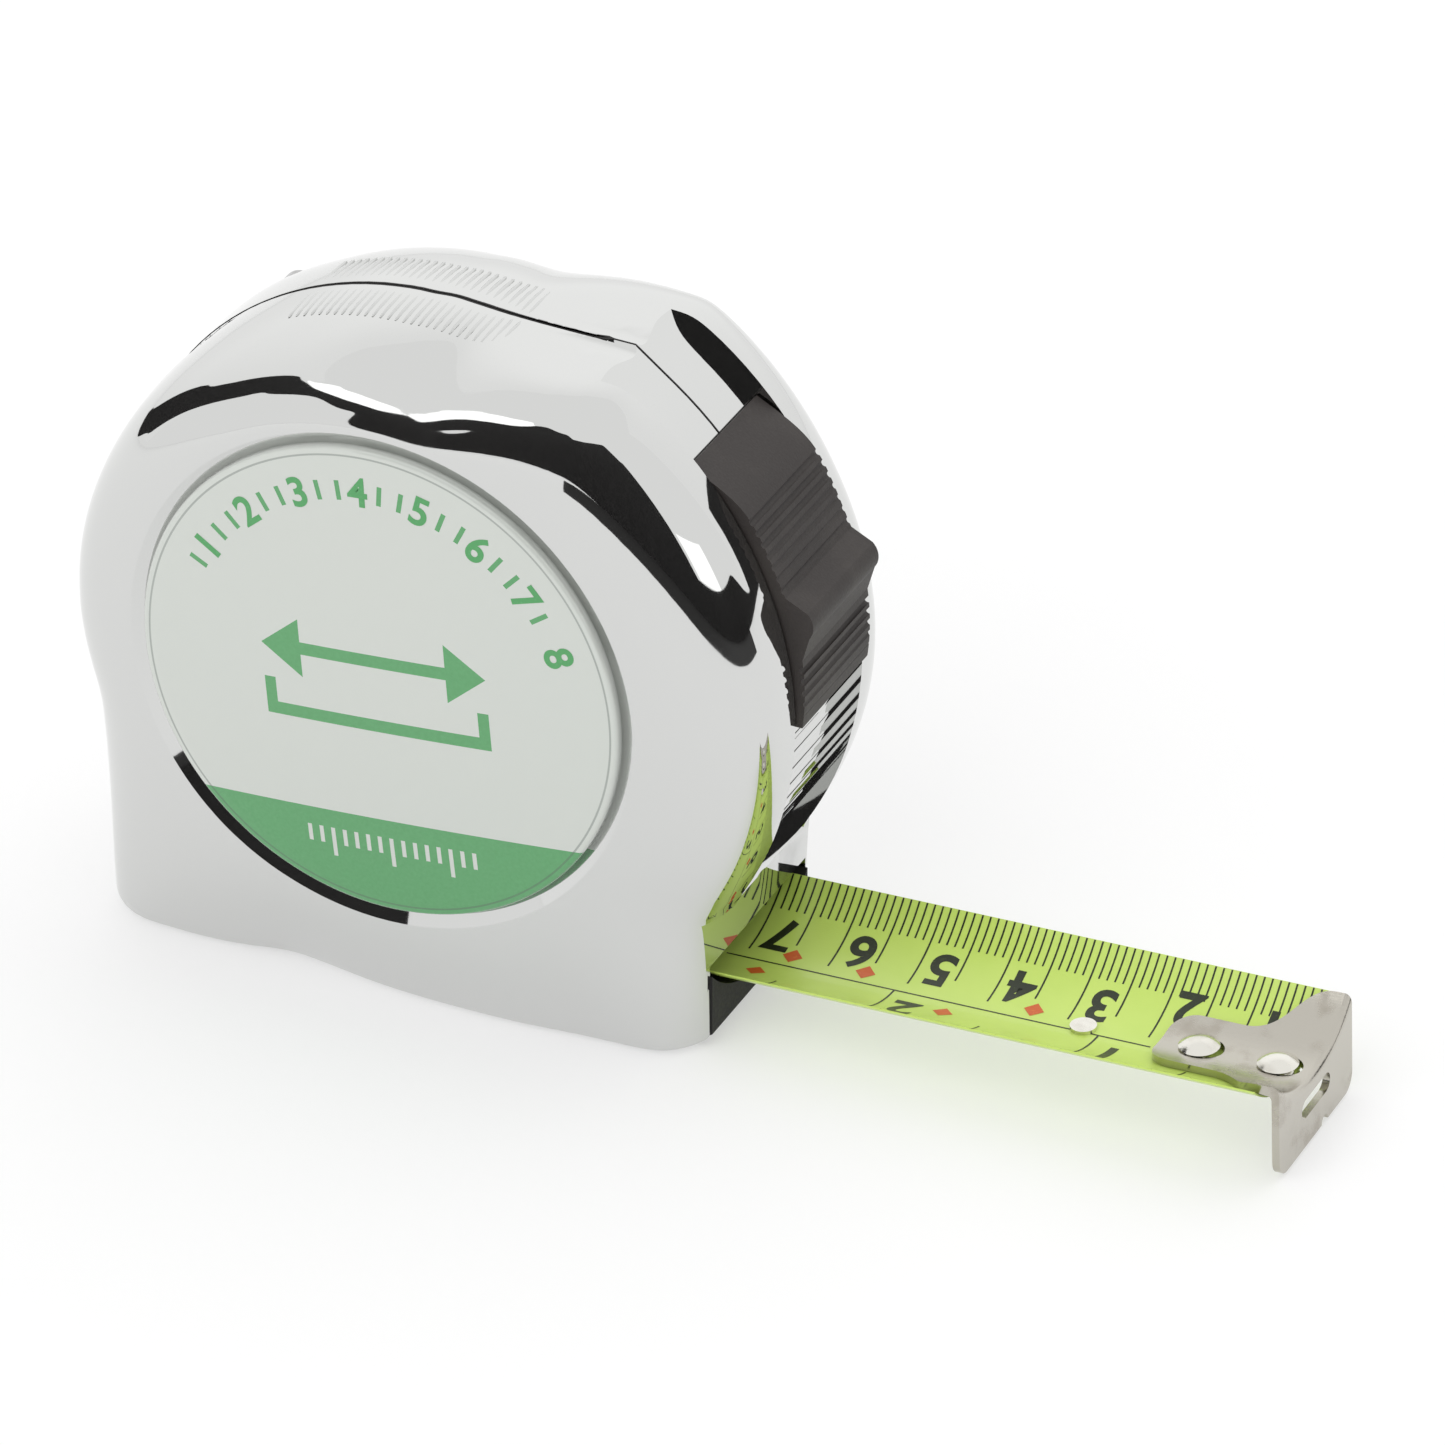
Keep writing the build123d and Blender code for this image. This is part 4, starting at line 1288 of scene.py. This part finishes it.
        def build(grid: bmesh.types.BMesh) -> None:
            """Set up one square, turned to the object."""
            matrix = Matrix.Translation(spot) @ turn @ Matrix.Diagonal((*size, 1, 1))
            bmesh.ops.create_grid(grid, x_segments=1, y_segments=1, size=0.5, matrix=matrix)
        paint = Paint(name)
        paint.set(base_color=(0.0, 0.0, 0.0), emission_color=(1.0, 1.0, 1.0), emission_strength=level)
        self.unseen(self.stage(name, mesh_from(build), paint.material))

    @staticmethod
    def unseen(piece: bpy.types.Object) -> None:
        """Keep a stage piece out of the camera's view and out of the diffuse light."""
        piece.visible_camera = False
        piece.visible_shadow = False
        piece.visible_diffuse = False

    @staticmethod
    def stage(name: str, mesh: bpy.types.Mesh, material: bpy.types.Material) -> bpy.types.Object:
        """Add a piece of the stage."""
        mesh.materials.append(material)
        piece = bpy.data.objects.new(name, mesh)
        bpy.context.collection.objects.link(piece)
        return piece

    def lamp(self, name: str, spot: tuple[float, float, float], size: float, watts: float) -> None:
        """Soft square lamp aimed at the object, which the chrome does not show.

        Args:
            name: Its name.
            spot: Its place.
            size: Its side.
            watts: Its power.
        """
        data = bpy.data.lights.new(name, "AREA")
        data.size = size
        data.energy = watts
        lamp = bpy.data.objects.new(name, data)
        lamp.location = spot
        lamp.rotation_euler = (Vector(spot) - Vector(self.aim)).to_track_quat("Z", "Y").to_euler()
        lamp.visible_glossy = False
        bpy.context.collection.objects.link(lamp)


def dress_nodes(frame: dict[str, Any], finishes: dict[Slot, bpy.types.Material]) -> None:
    """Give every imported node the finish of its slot."""
    for part in frame["record"]["subparts"]:
        node = frame["nodes"][part["node"]]
        node.data.materials.clear()
        node.data.materials.append(finishes[Slot(part["material_slot"])])
        LOG.info("%s: %s", part["node"], part["material_slot"])


def brighten_rivets(nodes: dict[str, bpy.types.Object]) -> None:
    """Give the rivets a brighter plate than the hook's, as a painted highlight for the shine of their rounded
    heads, so that the heads stand out.
    """
    # painted highlight: the lighter base colour stands for the light that the rivets' rounded heads catch
    plate = PlatedSteel("nickel_bright", linear(228, 226, 218), linear(208, 204, 194), 0.06).material()
    for name in ("hook_rivet_front", "hook_rivet_rear", "tip_rivet"):
        nodes[name].data.materials[0] = plate


def main() -> None:
    """Build the looks in order."""
    logging.basicConfig(level=logging.INFO)
    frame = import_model()
    low, high = (Vector(corner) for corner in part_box("label"))
    finishes = finish_table((low + high) / 2)
    dress_nodes(frame, finishes)
    brighten_rivets(frame["nodes"])
    axis = next(Vector(joint["axis"]) for joint in frame["joints"] if joint["name"] == "blade_slide")
    Case(frame["nodes"], finishes).build()
    Label(finishes).build()
    Blade(axis.normalized(), finishes).build()
    Studio().build()


if __name__ == "__main__":
    main()
